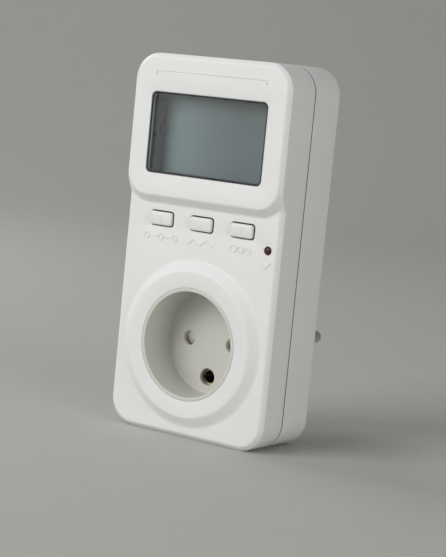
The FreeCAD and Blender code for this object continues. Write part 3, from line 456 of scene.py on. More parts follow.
def add_front_shell(context):
    """The front shell: skin, sides, seam step, openings and the inner skin at one wall's depth."""
    h, socket, display, keys = sizes_in_mm(context)
    shell = Surface()

    def outer(x, z):
        """Depth of the outer skin."""
        return face_depth(x, z, h, socket)

    def inner(x, z):
        """Depth of the inner skin: the outer skin's and one wall."""
        return face_depth(x, z, h, socket) + h.wall

    def at(loop, height):
        """A depth function's values at a loop's points."""
        return height(loop[:, 0], loop[:, 1])

    turn = np.linspace(np.pi / 4, 0, 5)
    start = h.edge * (1 - math.cos(turn[0]))
    rim_loop = housing_loop(h, start)
    rim_depth = at(rim_loop, outer)
    rim = shell.ring(rim_loop, rim_depth)
    side = rim
    for angle in turn[1:]:
        fall = h.edge * (math.sin(turn[0]) - math.sin(angle))
        side = shell.band(side, shell.ring(housing_loop(h, h.edge * (1 - math.cos(angle))), rim_depth + fall))
    half_wall = h.wall / 2
    last = shell.stack(side, [(housing_loop(h, gap), depth) for gap, depth in (
        (0, h.split - 1.2), (0, h.split - 0.3), (0.04, h.split - 0.1), (0.14, h.split),
        (half_wall, h.split), (half_wall, h.split - h.lip - 0.1), (h.wall, h.split - h.lip - 0.1))])
    inside_loop_points = housing_loop(h, h.wall)
    inside = shell.band(last, shell.ring(inside_loop_points, at(inside_loop_points, inner)))

    def opening(grown, radius):
        """A hole with a rounded edge, through to the inner skin; returns its two outer rings."""
        first, previous = None, None
        for gap, rise in quarter_round(radius):
            ring = shell.ring(grown(gap), at(grown(radius), outer) + rise)
            if previous is None:
                first = ring
            else:
                shell.band(previous, ring)
            previous = ring
        return first, shell.band(previous, shell.ring(grown(0), at(grown(0), inner)))

    openings = [opening(lambda gap: box_loop(
        (0, display.middle), (display.width / 2 + gap, display.height / 2 + gap),
        display.corner + gap, 8, np.linspace(-1, 1, 9), np.linspace(-1, 1, 7)), 0.35)]
    for x in (-keys.pitch, 0, keys.pitch):
        openings.append(opening(lambda gap, x=x: box_loop(
            (x, keys.height), (keys.wide / 2 + keys.gap + gap, keys.tall / 2 + keys.gap + gap),
            keys.corner + keys.gap + gap, 6), 0.12))
    openings.append(opening(lambda gap: circle_loop((keys.lamp, keys.lamp_height), 1.58 + gap, 32), 0.15))
    openings.append(opening(lambda gap: circle_loop((0, socket.height), socket.cup + 0.05 + gap, 180), 0.15))
    groove_edge = shell.ring(groove_loop(display, 0.05), -h.block_proud)
    groove_floor = shell.stack(groove_edge, [(groove_loop(display), 0.05 - h.block_proud),
                                             (groove_loop(display), 0.3 - h.block_proud)])
    shell.fill(groove_floor)

    extra = crease_points(h, socket)
    holes = [first for first, _ in openings] + [groove_edge]
    for ring in holes:
        loop = np.array([(shell.points[i][0], shell.points[i][2]) for i in ring])
        extra = extra[~inside_loop(extra, loop)]
    shell.fill(rim, holes, extra, outer)
    inset = -box_distance(extra[:, 0], extra[:, 1], (0, h.height / 2), (h.width / 2, h.height / 2), h.corner)
    shell.fill(inside, [last for _, last in openings], extra[inset > h.wall + 0.3], inner)

    board = 11.0
    post_top = -h.block_proud + h.wall - 0.6
    for side_of in (-1, 1):
        for z, start in ((h.screw_rise, h.wall - 0.6), (h.height - h.screw_rise, post_top)):
            post = [(2.6, start), (2.6, h.split), (1.43, h.split), (1.43, 6.0)]
            shell.turned((side_of * h.screw_across, z), post, 32)
        for x, z, start in ((27.5, 83.9, 1.1), (18.0, h.height - h.screw_rise, post_top)):
            shell.turned((side_of * x, z), [(2.3, start), (2.3, board), (1.13, board), (1.13, 6.6)], 32)
    mark_solids(shell, keys)
    thing = shell.build("front_shell", slot_material("housing_white"), "housing_white")
    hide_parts("front_cover")


# ---------------------------------------------------------------------- rear shell
def add_rear_shell(context):
    """The rear shell: sides with a round rear edge, seam lip, plug boss, screw wells and plate recess."""
    h, socket, _, _ = sizes_in_mm(context)
    shell = Surface()
    front = h.split + h.seam
    back, within = h.depth, h.depth - h.wall
    lip = h.split - h.lip
    swing = np.linspace(0, np.pi / 2, 8)
    start = shell.ring(housing_loop(h, h.wall), lip)
    rim = shell.stack(start, [(housing_loop(h, gap), depth) for gap, depth in (
        (h.wall / 2 + 0.05, lip), (h.wall / 2 + 0.05, front), (0.14, front), (0.04, front + 0.1),
        (0, front + 0.3), (0, front + 1.2),
        *((h.rear_round * (1 - math.cos(a)), back - h.rear_round * (1 - math.sin(a))) for a in swing))])
    inside = shell.band(start, shell.ring(housing_loop(h, h.wall), within))

    centre = (0, socket.height)
    boss_fillet, count, wall = 0.5, 96, 2.2
    end = socket.boss_end
    foot = shell.ring(circle_loop(centre, socket.boss + boss_fillet + 0.4, count), back)
    edge = shell.stack(foot, [(circle_loop(centre, socket.boss + gap, count), depth) for gap, depth in (
        *((boss_fillet * (1 - math.sin(a)), back + boss_fillet * (1 - math.cos(a))) for a in swing[::2]),
        (0, back + 2), (0, end - 2.2),
        *((-1.2 * (1 - math.cos(a)), end - 1.2 * (1 - math.sin(a))) for a in swing), (-1.6, end))])
    neck = shell.ring(circle_loop(centre, socket.boss - wall, count), within)
    cap = shell.band(neck, shell.ring(circle_loop(centre, socket.boss - wall, count), end - wall))
    pins = [((-socket.pin_across, socket.height), 2.93), ((socket.pin_across, socket.height), 2.93),
            ((0, socket.height - socket.earth_drop), 2.83)]
    outer_rings, inner_rings = [], []
    for place, radius in pins:
        first = shell.ring(circle_loop(place, radius, 40), end)
        outer_rings.append(first)
        inner_rings.append(shell.band(first, shell.ring(circle_loop(place, radius, 40), end - wall)))
    shell.fill(edge, outer_rings)
    shell.fill(cap, inner_rings)

    wells, well_ends = [], []
    screws = [(side * h.screw_across, z) for side in (-1, 1) for z in (h.screw_rise, h.height - h.screw_rise)]
    for place in screws:
        first = shell.ring(circle_loop(place, 3.05, 40), back)
        wells.append(first)
        well_ends.append(shell.stack(first, [(circle_loop(place, 2.85 + gap, 40), back + rise)
                                             for gap, rise in ((0.06, 0.06), (0, 0.2), (0, -0.4))]
                                     + [(circle_loop(place, 2.85, 40), within)]))
    plate_centre, plate_half = (0, 96.05), (21.0, 18.0)

    def plate(gap):
        """Outline of the recess for the plate, grown by gap."""
        return box_loop(plate_centre, (plate_half[0] + gap, plate_half[1] + gap), 2.5 + gap, 8)

    plate_edge = shell.ring(plate(0.12), back)
    plate_floor = shell.stack(plate_edge, [(plate(0.03), back - 0.03), (plate(0), back - 0.12),
                                           (plate(0), back - 0.4)])
    shell.fill(plate_floor)
    shell.fill(rim, [foot, *wells, plate_edge])
    shell.fill(inside, [neck, *well_ends])

    for place in screws:
        shell.pipe(place, [(4.1, h.split), (4.1, within + 0.3), (2.95, within + 0.3), (2.95, within - 0.05),
                           (2.85, within - 0.05), (2.85, 18.0), (1.65, 18.0), (1.65, h.split)], 40)
    for x in (-27.3, 27.3):
        for z in (63.5, 121.6):
            shell.turned((x, z), [(2.3, within + 0.6), (2.3, 17.1), (1.13, 17.1), (1.13, 21.5)], 32)
    thing = shell.build("rear_shell", slot_material("housing_white"), "housing_white")
    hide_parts("rear_cover")


# -------------------------------------------------------------------------- socket
def add_socket_cup(context):
    """The cup that lines the well: rounded lip, floor with three holes, flange and the shutter's chamber."""
    h, socket, _, _ = sizes_in_mm(context)
    cup = Surface()
    centre = (0, socket.height)
    count, thick = 180, 1.7
    front, floor = -socket.ring_proud, socket.floor
    behind = floor + thick
    end = behind + 3.2
    flange_front = h.wall - socket.ring_proud
    lip = 0.25

    def loop(radius):
        """A circle of this radius round the socket's middle."""
        return circle_loop(centre, radius, count)

    start = cup.ring(loop(socket.cup), end)
    swing = np.linspace(0, np.pi / 2, 5)
    rings = [(socket.cup, flange_front + 1.8), (24.9, flange_front + 1.8), (25.0, flange_front + 1.7),
             (25.0, flange_front), (socket.cup, flange_front), (socket.cup, front + lip + 0.6)]
    rings += [(socket.cup - lip * (1 - math.cos(a)), front + lip * (1 - math.sin(a))) for a in swing]
    rings += [(socket.well + lip * (1 - math.sin(a)), front + lip * (1 - math.cos(a))) for a in swing]
    rings += [(socket.well, front + lip + 0.6), (socket.well, floor - 1.0)]
    rings += [(socket.well - 0.2 * (1 - math.cos(a)), floor - 0.2 * (1 - math.sin(a))) for a in swing]
    rings += [(socket.well - 0.5, floor)]
    last = cup.stack(start, [(loop(radius), depth) for radius, depth in rings])
    chamber = cup.stack(start, [(loop(socket.well - 0.3), end), (loop(socket.well - 0.3), behind)])
    places = [((-socket.pin_across, socket.height), socket.pin_hole),
              ((socket.pin_across, socket.height), socket.pin_hole),
              ((0, socket.height - socket.earth_drop), socket.earth_hole)]
    above, below = [], []
    for place, radius in places:
        first = cup.ring(circle_loop(place, radius + 0.45, 48), floor)
        above.append(first)
        below.append(cup.stack(first, [(circle_loop(place, radius + gap, 48), floor + rise)
                                       for gap, rise in quarter_round(0.3)]
                               + [(circle_loop(place, radius, 48), behind)]))
    cup.fill(last, above)
    cup.fill(chamber, below)
    low, high = socket.height - 3.4, socket.height + 3.4
    for side in (-1, 1):
        middle = (side * 13.3, (low - 1 + high + 7.2) / 2)
        rail = box_loop(middle, (0.6, (high + 7.2 - low + 1) / 2), 0.1, 2)
        cup.tube([(rail, behind - 0.4), (rail, end)])
        post = [(2.3, behind - 0.4), (2.3, end), (1.13, end), (1.13, behind)]
        cup.turned((side * 13.5, socket.height - 11.5), post, 32)
    stop = box_loop((0, low - 0.7), (6.5, 0.6), 0.1, 2)
    cup.tube([(stop, behind - 0.4), (stop, end)])
    thing = cup.build("socket_cup", slot_material("insert_white"), "insert_white")
    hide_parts("socket_insert")


def add_pins(context):
    """Live and neutral pins: tail, flange, shoulder, shaft and a round tip."""
    _, socket, _, _ = sizes_in_mm(context)
    end, tip = socket.boss_end, socket.pin_end
    swing = np.linspace(0, np.pi / 2, 9)
    round_tip = socket.pin * 0.8
    profile = [(1.5, end - 7.7), (1.5, end - 4.2), (3.6, end - 4.2), (3.6, end - 2.2), (2.9, end - 2.2),
               (2.9, end), (socket.pin, end), (socket.pin, end + 3)]
    profile += [(socket.pin - round_tip * (1 - math.cos(a)), tip - round_tip * (1 - math.sin(a)))
                for a in swing]
    for name, side in (("live_pin", 1), ("neutral_pin", -1)):
        pin = Surface()
        pin.turned((side * socket.pin_across, socket.height), profile, 48)
        thing = pin.build("turned_" + name, slot_material("pin_nickel"), "pin_nickel")
        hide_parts(name)


# ------------------------------------------------------------------------- display
def add_display(context):
    """Black holder, clear lens and display glass."""
    _, _, display, _ = sizes_in_mm(context)
    centre = (0, display.middle)
    wide, tall, corner, line = display.width / 2, display.height / 2, display.corner, display.lining

    def frame_loop(across, along, turn):
        """A rectangle round the display's middle, with round corners of radius turn."""
        return box_loop(centre, (across, along), turn, 8)

    window = (wide - line, tall - line, corner - line)
    lining = (wide - 0.05, tall - 0.05, corner - 0.05)
    outer = (wide + 4.2, tall + 4.2, 1.0)
    seat = (wide + 3.05, tall + 3.05, 0.4)
    holder = Surface()
    rim = -2.72
    rim_top = rim - 0.08
    order = [(window, rim), (tuple(v + 0.08 for v in window), rim_top),
             (tuple(v - 0.08 for v in lining), rim_top), (lining, rim), (lining, -0.7), (outer, -0.7),
             (outer, 11.0), (seat, 11.0), (seat, display.glass), (window, display.glass)]
    rings = [holder.ring(frame_loop(*size), depth) for size, depth in order]
    for here, there in zip(rings, rings[1:] + rings[:1]):
        holder.band(here, there)
    thing = holder.build("display_holder", slot_material("holder_black"), "holder_black")
    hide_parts("display_frame")

    lens = Surface()
    clear = tuple(v - 0.02 for v in window)
    soft = tuple(v - 0.12 for v in window)
    lens.tube([(frame_loop(*soft), -1.1), (frame_loop(*clear), -1.2), (frame_loop(*clear), -2.4),
               (frame_loop(*soft), -2.5)])
    thing = lens.build("display_lens", slot_material("lens_clear"), "lens_clear")
    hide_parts("display_window")

    glass = Surface()
    plate = (wide + 3.0, tall + 3.0, 0.3)
    glass.tube([(frame_loop(*plate), display.glass + 2.8), (frame_loop(*plate), display.glass)])
    thing = glass.build("display_plate", slot_material("display_grey"), "display_grey")
    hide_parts("display_glass")


# ---------------------------------------------------------------------- keys, lamp
def add_keys(context):
    """Three caps: stem, flange, sides, round edge and a low crown with a raised mark."""
    _, _, _, keys = sizes_in_mm(context)
    wide, tall, corner = keys.wide / 2, keys.tall / 2, keys.corner
    row = (("function", -keys.pitch, "bar"), ("power", 0.0, "up"), ("cost", keys.pitch, "down"))
    for name, x, mark in row:
        cap = Surface()
        centre = (x, keys.height)

        def loop(half, turn):
            """A rectangle round this cap's middle, with round corners of radius turn."""
            return box_loop(centre, half, turn, 6)

        def drawn_in(gap):
            """The cap's outline moved in by gap; its corner radius shrinks with it."""
            return loop((wide - gap, tall - gap), max(corner - gap, 0.25))

        edge = 0.6
        swing = np.linspace(0, np.pi / 2, 6)
        stem = loop((1.6, 1.6), 0.4)
        flange = loop((wide + 0.9, tall + 0.9), 0.9)
        rings = [(stem, 5.9), (stem, 3.15), (flange, 3.15), (flange, 2.25), (drawn_in(0), 2.25)]
        rings += [(drawn_in(edge * (1 - math.cos(a))), edge * (1 - math.sin(a)) - keys.proud)
                  for a in swing]
        crown = ((1.0, 0.06), (1.5, 0.09), (2.0, 0.10))
        rings += [(drawn_in(gap), -keys.proud - rise) for gap, rise in crown]
        cap.tube(rings)
        top, low = -keys.proud - 0.25, -keys.proud + 0.1
        if mark == "bar":
            shape = box_loop(centre, (0.35, 1.2), 0.1, 2)
        else:
            way = 1 if mark == "up" else -1
            shape = np.array([(x - 1.2, keys.height - way * 1.0), (x + 1.2, keys.height - way * 1.0),
                              (x, keys.height + way * 1.1)])[::way]
        cap.tube([(shape, low), (shape, top + 0.05), (shrunk(shape, 0.06), top)])
        thing = cap.build(name + "_cap", slot_material("key_white"), "key_white", name + "_key")
        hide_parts(name + "_button")


def add_lamp(context):
    """The lamp: a domed cylinder with a rim at its base."""
    _, _, _, keys = sizes_in_mm(context)
    swing = np.linspace(0, np.pi / 2, 8)
    profile = [(1.8, 4.2), (1.8, 3.2), (1.5, 3.2)]
    profile += [(1.5 - 1.2 * (1 - math.cos(a)), 1.0 - 1.2 * math.sin(a)) for a in swing]
    lamp = Surface()
    lamp.turned((keys.lamp, keys.lamp_height), profile, 40)
    thing = lamp.build("lamp_dome", slot_material("lamp_red"), "lamp_red")
    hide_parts("status_lamp")


# --------------------------------------------------------------------- inner parts
def finish_inner_parts():
    """Every other node: its slot's material, on a copy whose doubled points are merged and smoothed."""
    record = frame["record"]
    slots = {part["node"]: part["material_slot"] for part in record["subparts"]}
    bodies = {node: body for body, nodes in record["behaviour"]["bodies"].items() for node in nodes}
    remade = {"front_cover", "rear_cover", "socket_insert", "live_pin", "neutral_pin", "display_frame",
              "display_window", "display_glass", "status_lamp", "function_button", "power_button",
              "cost_button", "shutter_spring"}
    for name, node in frame["nodes"].items():
        node.data.materials.clear()
        node.data.materials.append(slot_material(slots[name]))
        if name in remade:
            continue
        mesh = node.data.copy()
        mesh.name = name + " finished"
        work = bmesh.new()
        work.from_mesh(mesh)
        bmesh.ops.remove_doubles(work, verts=work.verts, dist=1e-6)
        for edge in work.edges:
            edge.smooth = len(edge.link_faces) == 2 and edge.calc_face_angle() < math.radians(30)
        for face in work.faces:
            face.smooth = True
        work.to_mesh(mesh)
        work.free()
        if "custom_normal" in mesh.attributes:
            mesh.attributes.remove(mesh.attributes["custom_normal"])
        copy = bpy.data.objects.new(name + "_finished", mesh)
        bpy.context.scene.collection.objects.link(copy)
        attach(copy, bodies[name])
        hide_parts(name)


# ---------------------------------------------------------------------- materials
NOISE_SPAN = (0.3, 0.7)
PATCH_PLACE, PATCH_REACH = (0.009, -0.0091, 0.103), 0.017


def add_ramp(material, value, first, last, begin=0.0, finish=1.0):
    """A straight ramp: first where the value is begin, last where it is finish, and level beyond both."""
    ramp = material.node_tree.nodes.new("ShaderNodeMapRange")
    for name, number in (("From Min", begin), ("From Max", finish), ("To Min", first), ("To Max", last)):
        ramp.inputs[name].default_value = number
    material.node_tree.links.new(value, ramp.inputs["Value"])
    return ramp.outputs["Result"]


def shader(name, color, roughness, grain=1.2, bump=0.02, mottle=0.02, metallic=0.0, spread=0.06,
           stretch=(1, 1, 1)):
    """Principled material whose colour, roughness and bump follow noise in Object coordinates.

    grain and bump are the width and height of the fine cells in millimetres; mottle and spread are how far
    the colour and the roughness vary; stretch scales the noise along X, Y and Z.
    """
    known = bpy.data.materials.get(name)
    if known:
        return known
    material = bpy.data.materials.new(name)
    material.use_nodes = True
    nodes, links = material.node_tree.nodes, material.node_tree.links
    nodes.clear()
    out = nodes.new("ShaderNodeOutputMaterial")
    main = nodes.new("ShaderNodeBsdfPrincipled")
    place = nodes.new("ShaderNodeTexCoord")
    mapped = nodes.new("ShaderNodeMapping")
    mapped.inputs["Scale"].default_value = stretch
    links.new(place.outputs["Object"], mapped.inputs["Vector"])
    broad = nodes.new("ShaderNodeTexNoise")
    broad.inputs["Scale"].default_value = 60.0
    broad.inputs["Detail"].default_value = 3.0
    fine = nodes.new("ShaderNodeTexNoise")
    fine.inputs["Scale"].default_value = 1.0 / (grain * MM)
    fine.inputs["Detail"].default_value = 4.0
    for noise in (broad, fine):
        links.new(mapped.outputs["Vector"], noise.inputs["Vector"])
    tint = add_ramp(material, broad.outputs["Fac"], 1.0 - mottle, 1.0 + mottle, *NOISE_SPAN)
    mix = nodes.new("ShaderNodeVectorMath")
    mix.operation = "SCALE"
    mix.inputs[0].default_value = color[:3]
    links.new(tint, mix.inputs["Scale"])
    links.new(mix.outputs["Vector"], main.inputs["Base Color"])
    rough = add_ramp(material, fine.outputs["Fac"], max(roughness - spread, 0.02), roughness + spread,
                     *NOISE_SPAN)
    links.new(rough, main.inputs["Roughness"])
    rise = nodes.new("ShaderNodeBump")
    rise.inputs["Strength"].default_value = 1.0
    rise.inputs["Distance"].default_value = bump * MM
    links.new(fine.outputs["Fac"], rise.inputs["Height"])
    links.new(rise.outputs["Normal"], main.inputs["Normal"])
    main.inputs["Metallic"].default_value = metallic
    links.new(main.outputs["BSDF"], out.inputs["Surface"])
    return material


def clear_lens():
    """Thin clear acrylic: mostly see-through, with a little gloss that grows towards the rim."""
    known = bpy.data.materials.get("clear acrylic")
    if known:
        return known
    material = bpy.data.materials.new("clear acrylic")
    material.use_nodes = True
    nodes, links = material.node_tree.nodes, material.node_tree.links
    nodes.clear()
    out = nodes.new("ShaderNodeOutputMaterial")
    place = nodes.new("ShaderNodeTexCoord")
    noise = nodes.new("ShaderNodeTexNoise")
    noise.inputs["Scale"].default_value = 25.0
    noise.inputs["Detail"].default_value = 2.0
    links.new(place.outputs["Object"], noise.inputs["Vector"])
    through = nodes.new("ShaderNodeBsdfTransparent")
    links.new(add_ramp(material, noise.outputs["Fac"], 0.93, 0.97), through.inputs["Color"])
    gloss = nodes.new("ShaderNodeBsdfGlossy")
    links.new(add_ramp(material, noise.outputs["Fac"], 0.05, 0.12), gloss.inputs["Roughness"])
    wave = nodes.new("ShaderNodeBump")
    wave.inputs["Distance"].default_value = 0.004 * MM
    links.new(noise.outputs["Fac"], wave.inputs["Height"])
    links.new(wave.outputs["Normal"], gloss.inputs["Normal"])
    edge = nodes.new("ShaderNodeFresnel")
    edge.inputs["IOR"].default_value = 1.45
    both = nodes.new("ShaderNodeMixShader")
    links.new(edge.outputs["Fac"], both.inputs["Fac"])
    links.new(through.outputs["BSDF"], both.inputs[1])
    links.new(gloss.outputs["BSDF"], both.inputs[2])
    links.new(both.outputs["Shader"], out.inputs["Surface"])
    return material


def finishes():
    """The scene's colours."""
    return bpy.context.scene.meter_finishes


def shade_along(material, axis, begin, finish, first, last, middle=None):
    """Scale a material's colour by a ramp along one Object axis, or by distance from a middle on it.

    begin, finish and middle are in millimetres; first and last are the scales there.
    """
    if "shaded" in material:
        return material
    material["shaded"] = True
    nodes, links = material.node_tree.nodes, material.node_tree.links
    main = next(node for node in nodes if node.type == "BSDF_PRINCIPLED")
    place = next(node for node in nodes if node.type == "TEX_COORD")
    split = nodes.new("ShaderNodeSeparateXYZ")
    links.new(place.outputs["Object"], split.inputs["Vector"])
    value = split.outputs[axis]
    if middle is not None:
        offset = nodes.new("ShaderNodeMath")
        offset.operation = "SUBTRACT"
        offset.inputs[1].default_value = middle * MM
        links.new(value, offset.inputs[0])
        away = nodes.new("ShaderNodeMath")
        away.operation = "ABSOLUTE"
        links.new(offset.outputs["Value"], away.inputs[0])
        value = away.outputs["Value"]
    ramp = add_ramp(material, value, first, last, begin * MM, finish * MM)
    scaled = nodes.new("ShaderNodeVectorMath")
    scaled.operation = "SCALE"
    links.new(main.inputs["Base Color"].links[0].from_socket, scaled.inputs[0])
    links.new(ramp, scaled.inputs["Scale"])
    links.new(scaled.outputs["Vector"], main.inputs["Base Color"])
    return material


def shell_plastic():
    """Matt white moulding with a fine texture, and painted shade: a narrow dark band at the seam between the
    shells.
    """
    material = shader("matt white shell", finishes().shell, 0.48, grain=0.35, bump=0.012, mottle=0.008)
    # painted shade: colour scaled to 0.06 within 0.17 mm of the seam's depth, back to full by 0.34 mm
    return shade_along(material, "Y", 0.17, 0.34, 0.06, 1.0, middle=FRONT_Y + 12.97)


def key_plastic():
    """Smooth warm white cap, with painted shade darkening its sides where they sink below the face."""
    material = shader("key plastic", finishes().key, 0.36, grain=0.8, bump=0.004, mottle=0.01)
    # painted shade: colour falls from full 0.4 mm in front of the lower face to 0.12 at 0.15 mm behind it
    return shade_along(material, "Y", FRONT_Y - 0.40, FRONT_Y + 0.15, 1.0, 0.12)


def holder_plastic():
    """Glossy black holder with painted shade on its front rim and painted light on its inner wall, as if it
    caught light from the display.
    """
    material = shader("black holder", finishes().holder, 0.30, grain=3.0, bump=0.002, mottle=0.02)
    # painted shade at the front rim, scale 0.12, turning into painted light, scale 1.15, on the wall 3.3 mm
    # deeper
    return shade_along(material, "Y", -17.8, -14.5, 0.12, 1.15)


def blank_display():
    """The unlit display: grey-green with painted light that is brightest at the left and falls off to the
    right, and a faint blue patch.
    """
    material = shader("blank display", finishes().display, 0.45, grain=9.0, bump=0.0, mottle=0.03,
                      spread=0.02)
    if "shaded" in material:
        return material
    # painted light: colour scaled from 1.50 at the left to 0.68 at the right, in place of reflected light and
    # of the recess's shade
    shade_along(material, "X", -26, 8, 1.50, 0.68)
    nodes, links = material.node_tree.nodes, material.node_tree.links
    main = next(node for node in nodes if node.type == "BSDF_PRINCIPLED")
    place = next(node for node in nodes if node.type == "TEX_COORD")
    reach = nodes.new("ShaderNodeVectorMath")
    reach.operation = "DISTANCE"
    reach.inputs[1].default_value = PATCH_PLACE
    links.new(place.outputs["Object"], reach.inputs[0])
    patch = add_ramp(material, reach.outputs["Value"], 0.35, 0.0, 0.0, PATCH_REACH)
    mixed = nodes.new("ShaderNodeMix")
    mixed.data_type = "RGBA"
    mixed.inputs["B"].default_value = (*finishes().patch, 1)
    links.new(main.inputs["Base Color"].links[0].from_socket, mixed.inputs["A"])
    links.new(patch, mixed.inputs["Factor"])
    links.new(mixed.outputs["Result"], main.inputs["Base Color"])
    return material


def slot_material(slot):
    """The procedural material that shows one of the record's slots."""
    looks = {
        "housing_white": shell_plastic,
        # The cup's darker colour is partly its own tone, partly painted shade for the well.
        "insert_white": lambda: shader("smooth white cup", finishes().cup, 0.36, grain=1.5, bump=0.006,
                                       mottle=0.01),
        "carrier_grey": lambda: shader("grey carrier", (0.30, 0.30, 0.29), 0.5, bump=0.01),
        # painted light: the shutter's ivory is set lighter so it shows bright deep in the pin holes
        "shutter_ivory": lambda: shader("ivory shutter", (0.90, 0.88, 0.82), 0.35, bump=0.005),
        "spring_steel": lambda: shader("spring wire", (0.55, 0.55, 0.55), 0.3, grain=0.2, metallic=1.0),
        "contact_brass": lambda: shader("contact brass", (0.46, 0.37, 0.22), 0.3, grain=0.4, bump=0.006,
                                        mottle=0.25, metallic=1.0),
        "pin_nickel": lambda: shader("nickel pin", (0.62, 0.60, 0.57), 0.22, grain=0.25, bump=0.003,
                                     mottle=0.05, metallic=1.0, stretch=(1, 0.08, 1)),
        "live_lead": lambda: shader("brown lead", (0.10, 0.035, 0.015), 0.5, mottle=0.05),
        "neutral_lead": lambda: shader("blue lead", (0.02, 0.06, 0.28), 0.5, mottle=0.05),
        "lens_clear": clear_lens,
        "holder_black": holder_plastic,
        "display_grey": blank_display,
        "zebra_rubber": lambda: shader("layered rubber", (0.5, 0.5, 0.54), 0.6, grain=0.3, mottle=0.2,
                                       stretch=(6, 1, 1)),
        "key_white": key_plastic,
        "switch_black": lambda: shader("switch nylon", (0.015, 0.015, 0.016), 0.5, bump=0.01),
        "lamp_red": lambda: shader("red lamp", finishes().lamp, 0.18, grain=1.0, bump=0.004,
                                   mottle=0.06),
        "lead_tin": lambda: shader("tinned lead", (0.6, 0.6, 0.58), 0.3, grain=0.3, metallic=1.0),
        "board_green": lambda: shader("green laminate", (0.01, 0.09, 0.03), 0.35, grain=0.5, mottle=0.1),
        "film_yellow": lambda: shader("yellow case", (0.6, 0.36, 0.03), 0.35, mottle=0.04),
        "can_sleeve": lambda: shader("can sleeve", (0.012, 0.02, 0.06), 0.3, mottle=0.08),
        "disc_blue": lambda: shader("blue disc", (0.02, 0.08, 0.3), 0.4, bump=0.02),
        "resistor_tan": lambda: shader("tan resistor", (0.42, 0.29, 0.14), 0.45, bump=0.02, mottle=0.08),
        "epoxy_black": lambda: shader("black epoxy", (0.01, 0.01, 0.01), 0.42, bump=0.02),
        "screw_steel": lambda: shader("screw steel", (0.55, 0.55, 0.53), 0.32, grain=0.3, mottle=0.06,
                                      metallic=1.0),
        "shunt_manganin": lambda: shader("manganin strip", (0.45, 0.27, 0.16), 0.35, grain=0.4, metallic=1.0),
    }
    return looks[slot]()


FLOOR_FLAT, FLOOR_BEND, FLOOR_TOP = 0.9, 1.4, 2.2

# name, place, the point it faces, width of its square and power
LIGHTS = (("window light", (-0.53, -1.19, 0.66), (0, 0, 0.05), 0.95, 13.4),
          ("side fill", (1.3, -0.43, 0.20), (0, 0, 0.07), 0.7, 7.6),
          ("left wash", (-0.80, 0.05, 0.50), (-0.34, 0.16, 0.0), 0.4, 2.3),
          ("back light", (-1.0, 0.8, 0.9), (-0.9, 1.6, 0.2), 0.7, 1.6))

CAMERA_PLACE = (0.36119, -0.51882, 0.12825)
CAMERA_HEADING, CAMERA_FALL, CAMERA_ROLL = (math.radians(angle) for angle in (34.776, 6.392, 5.565))
CAMERA_LENS = 113.1


def add_floor():
    """A seamless bowl of pale paper: a flat disc that curves up to a wall all round."""
    turn = np.linspace(0, 2 * np.pi, 96, endpoint=False)
    bend = np.linspace(0, np.pi / 2, 25)
    radius = np.concatenate([[0.02, 0.3, 0.6, FLOOR_FLAT], FLOOR_FLAT + FLOOR_BEND * np.sin(bend[1:]),
                             [FLOOR_FLAT + FLOOR_BEND]])
    rise = np.concatenate([[0, 0, 0, 0], FLOOR_BEND * (1 - np.cos(bend[1:])), [FLOOR_TOP]])
    x = np.outer(radius, np.cos(turn))
    y = np.outer(radius, np.sin(turn))
    z = np.repeat(rise[:, None], len(turn), axis=1)
    points = np.stack([x, y, z], axis=-1).reshape(-1, 3)
    count = len(turn)
    faces = [list(range(count))]
    for row in range(len(radius) - 1):
        here = row * count + np.arange(count)
        ahead = row * count + (np.arange(count) + 1) % count
        faces += np.column_stack([here, here + count, ahead + count, ahead]).tolist()
    mesh = bpy.data.meshes.new("paper_floor")
    mesh.from_pydata(points.tolist(), [], faces)
    mesh.polygons.foreach_set("use_smooth", np.ones(len(mesh.polygons), dtype=bool))
    mesh.materials.append(shader("pale paper", (0.48, 0.485, 0.45), 0.85, grain=1.5, bump=0.02, mottle=0.01))
    floor = bpy.data.objects.new("paper_floor", mesh)
    bpy.context.scene.collection.objects.link(floor)


def add_area_light(name, place, aim, size, power):
    """A square soft light at one place, turned towards another."""
    data = bpy.data.lights.new(name, "AREA")
    data.shape = "SQUARE"
    data.size = size
    data.energy = power
    light = bpy.data.objects.new(name, data)
    light.location = place
    light.rotation_mode = "QUATERNION"
    light.rotation_quaternion = (Vector(aim) - Vector(place)).to_track_quat("-Z", "Y")
    bpy.context.scene.collection.objects.link(light)


def add_camera():
    """The camera stands to the right of the front and a little above, and is rolled.

    It starts by looking straight down, so it is tilted up to its fall below the horizon, after its roll and
    before its heading.
    """
    data = bpy.data.cameras.new("camera")
    data.sensor_width = 36.0
    data.lens = CAMERA_LENS
    data.clip_start, data.clip_end = 0.01, 20.0
    camera = bpy.data.objects.new("camera", data)
    turn = (Matrix.Rotation(CAMERA_HEADING, 4, "Z") @ Matrix.Rotation(math.pi / 2 - CAMERA_FALL, 4, "X")
            @ Matrix.Rotation(CAMERA_ROLL, 4, "Z"))
    camera.matrix_world = Matrix.Translation(CAMERA_PLACE) @ turn
    bpy.context.scene.collection.objects.link(camera)
    bpy.context.scene.camera = camera


def add_stage():
    """Floor, lights, camera and colour settings."""
    add_floor()
    add_camera()
    for light in LIGHTS:
        add_area_light(*light)
    scene = bpy.context.scene
    world = bpy.data.worlds.new("studio air")
    world.use_nodes = True
    world.node_tree.nodes["Background"].inputs["Color"].default_value = (0.66, 0.665, 0.67, 1)
    world.node_tree.nodes["Background"].inputs["Strength"].default_value = 0.50
    scene.world = world
    scene.view_settings.view_transform = "Standard"
    scene.view_settings.look = "None"


class MeterOperator:
    """Shared by the operators: runs the class's builder and reports that it finished."""
    bl_options = {"REGISTER", "UNDO"}

    def execute(self, context):
        self.build(context)
        return {"FINISHED"}


class METER_OT_front_shell(MeterOperator, bpy.types.Operator):
    """Add the front shell with its display block, socket ring, openings and raised marks"""
    bl_idname = "meter.front_shell"
    bl_label = "Front Shell"

    def build(self, context):
        add_front_shell(context)


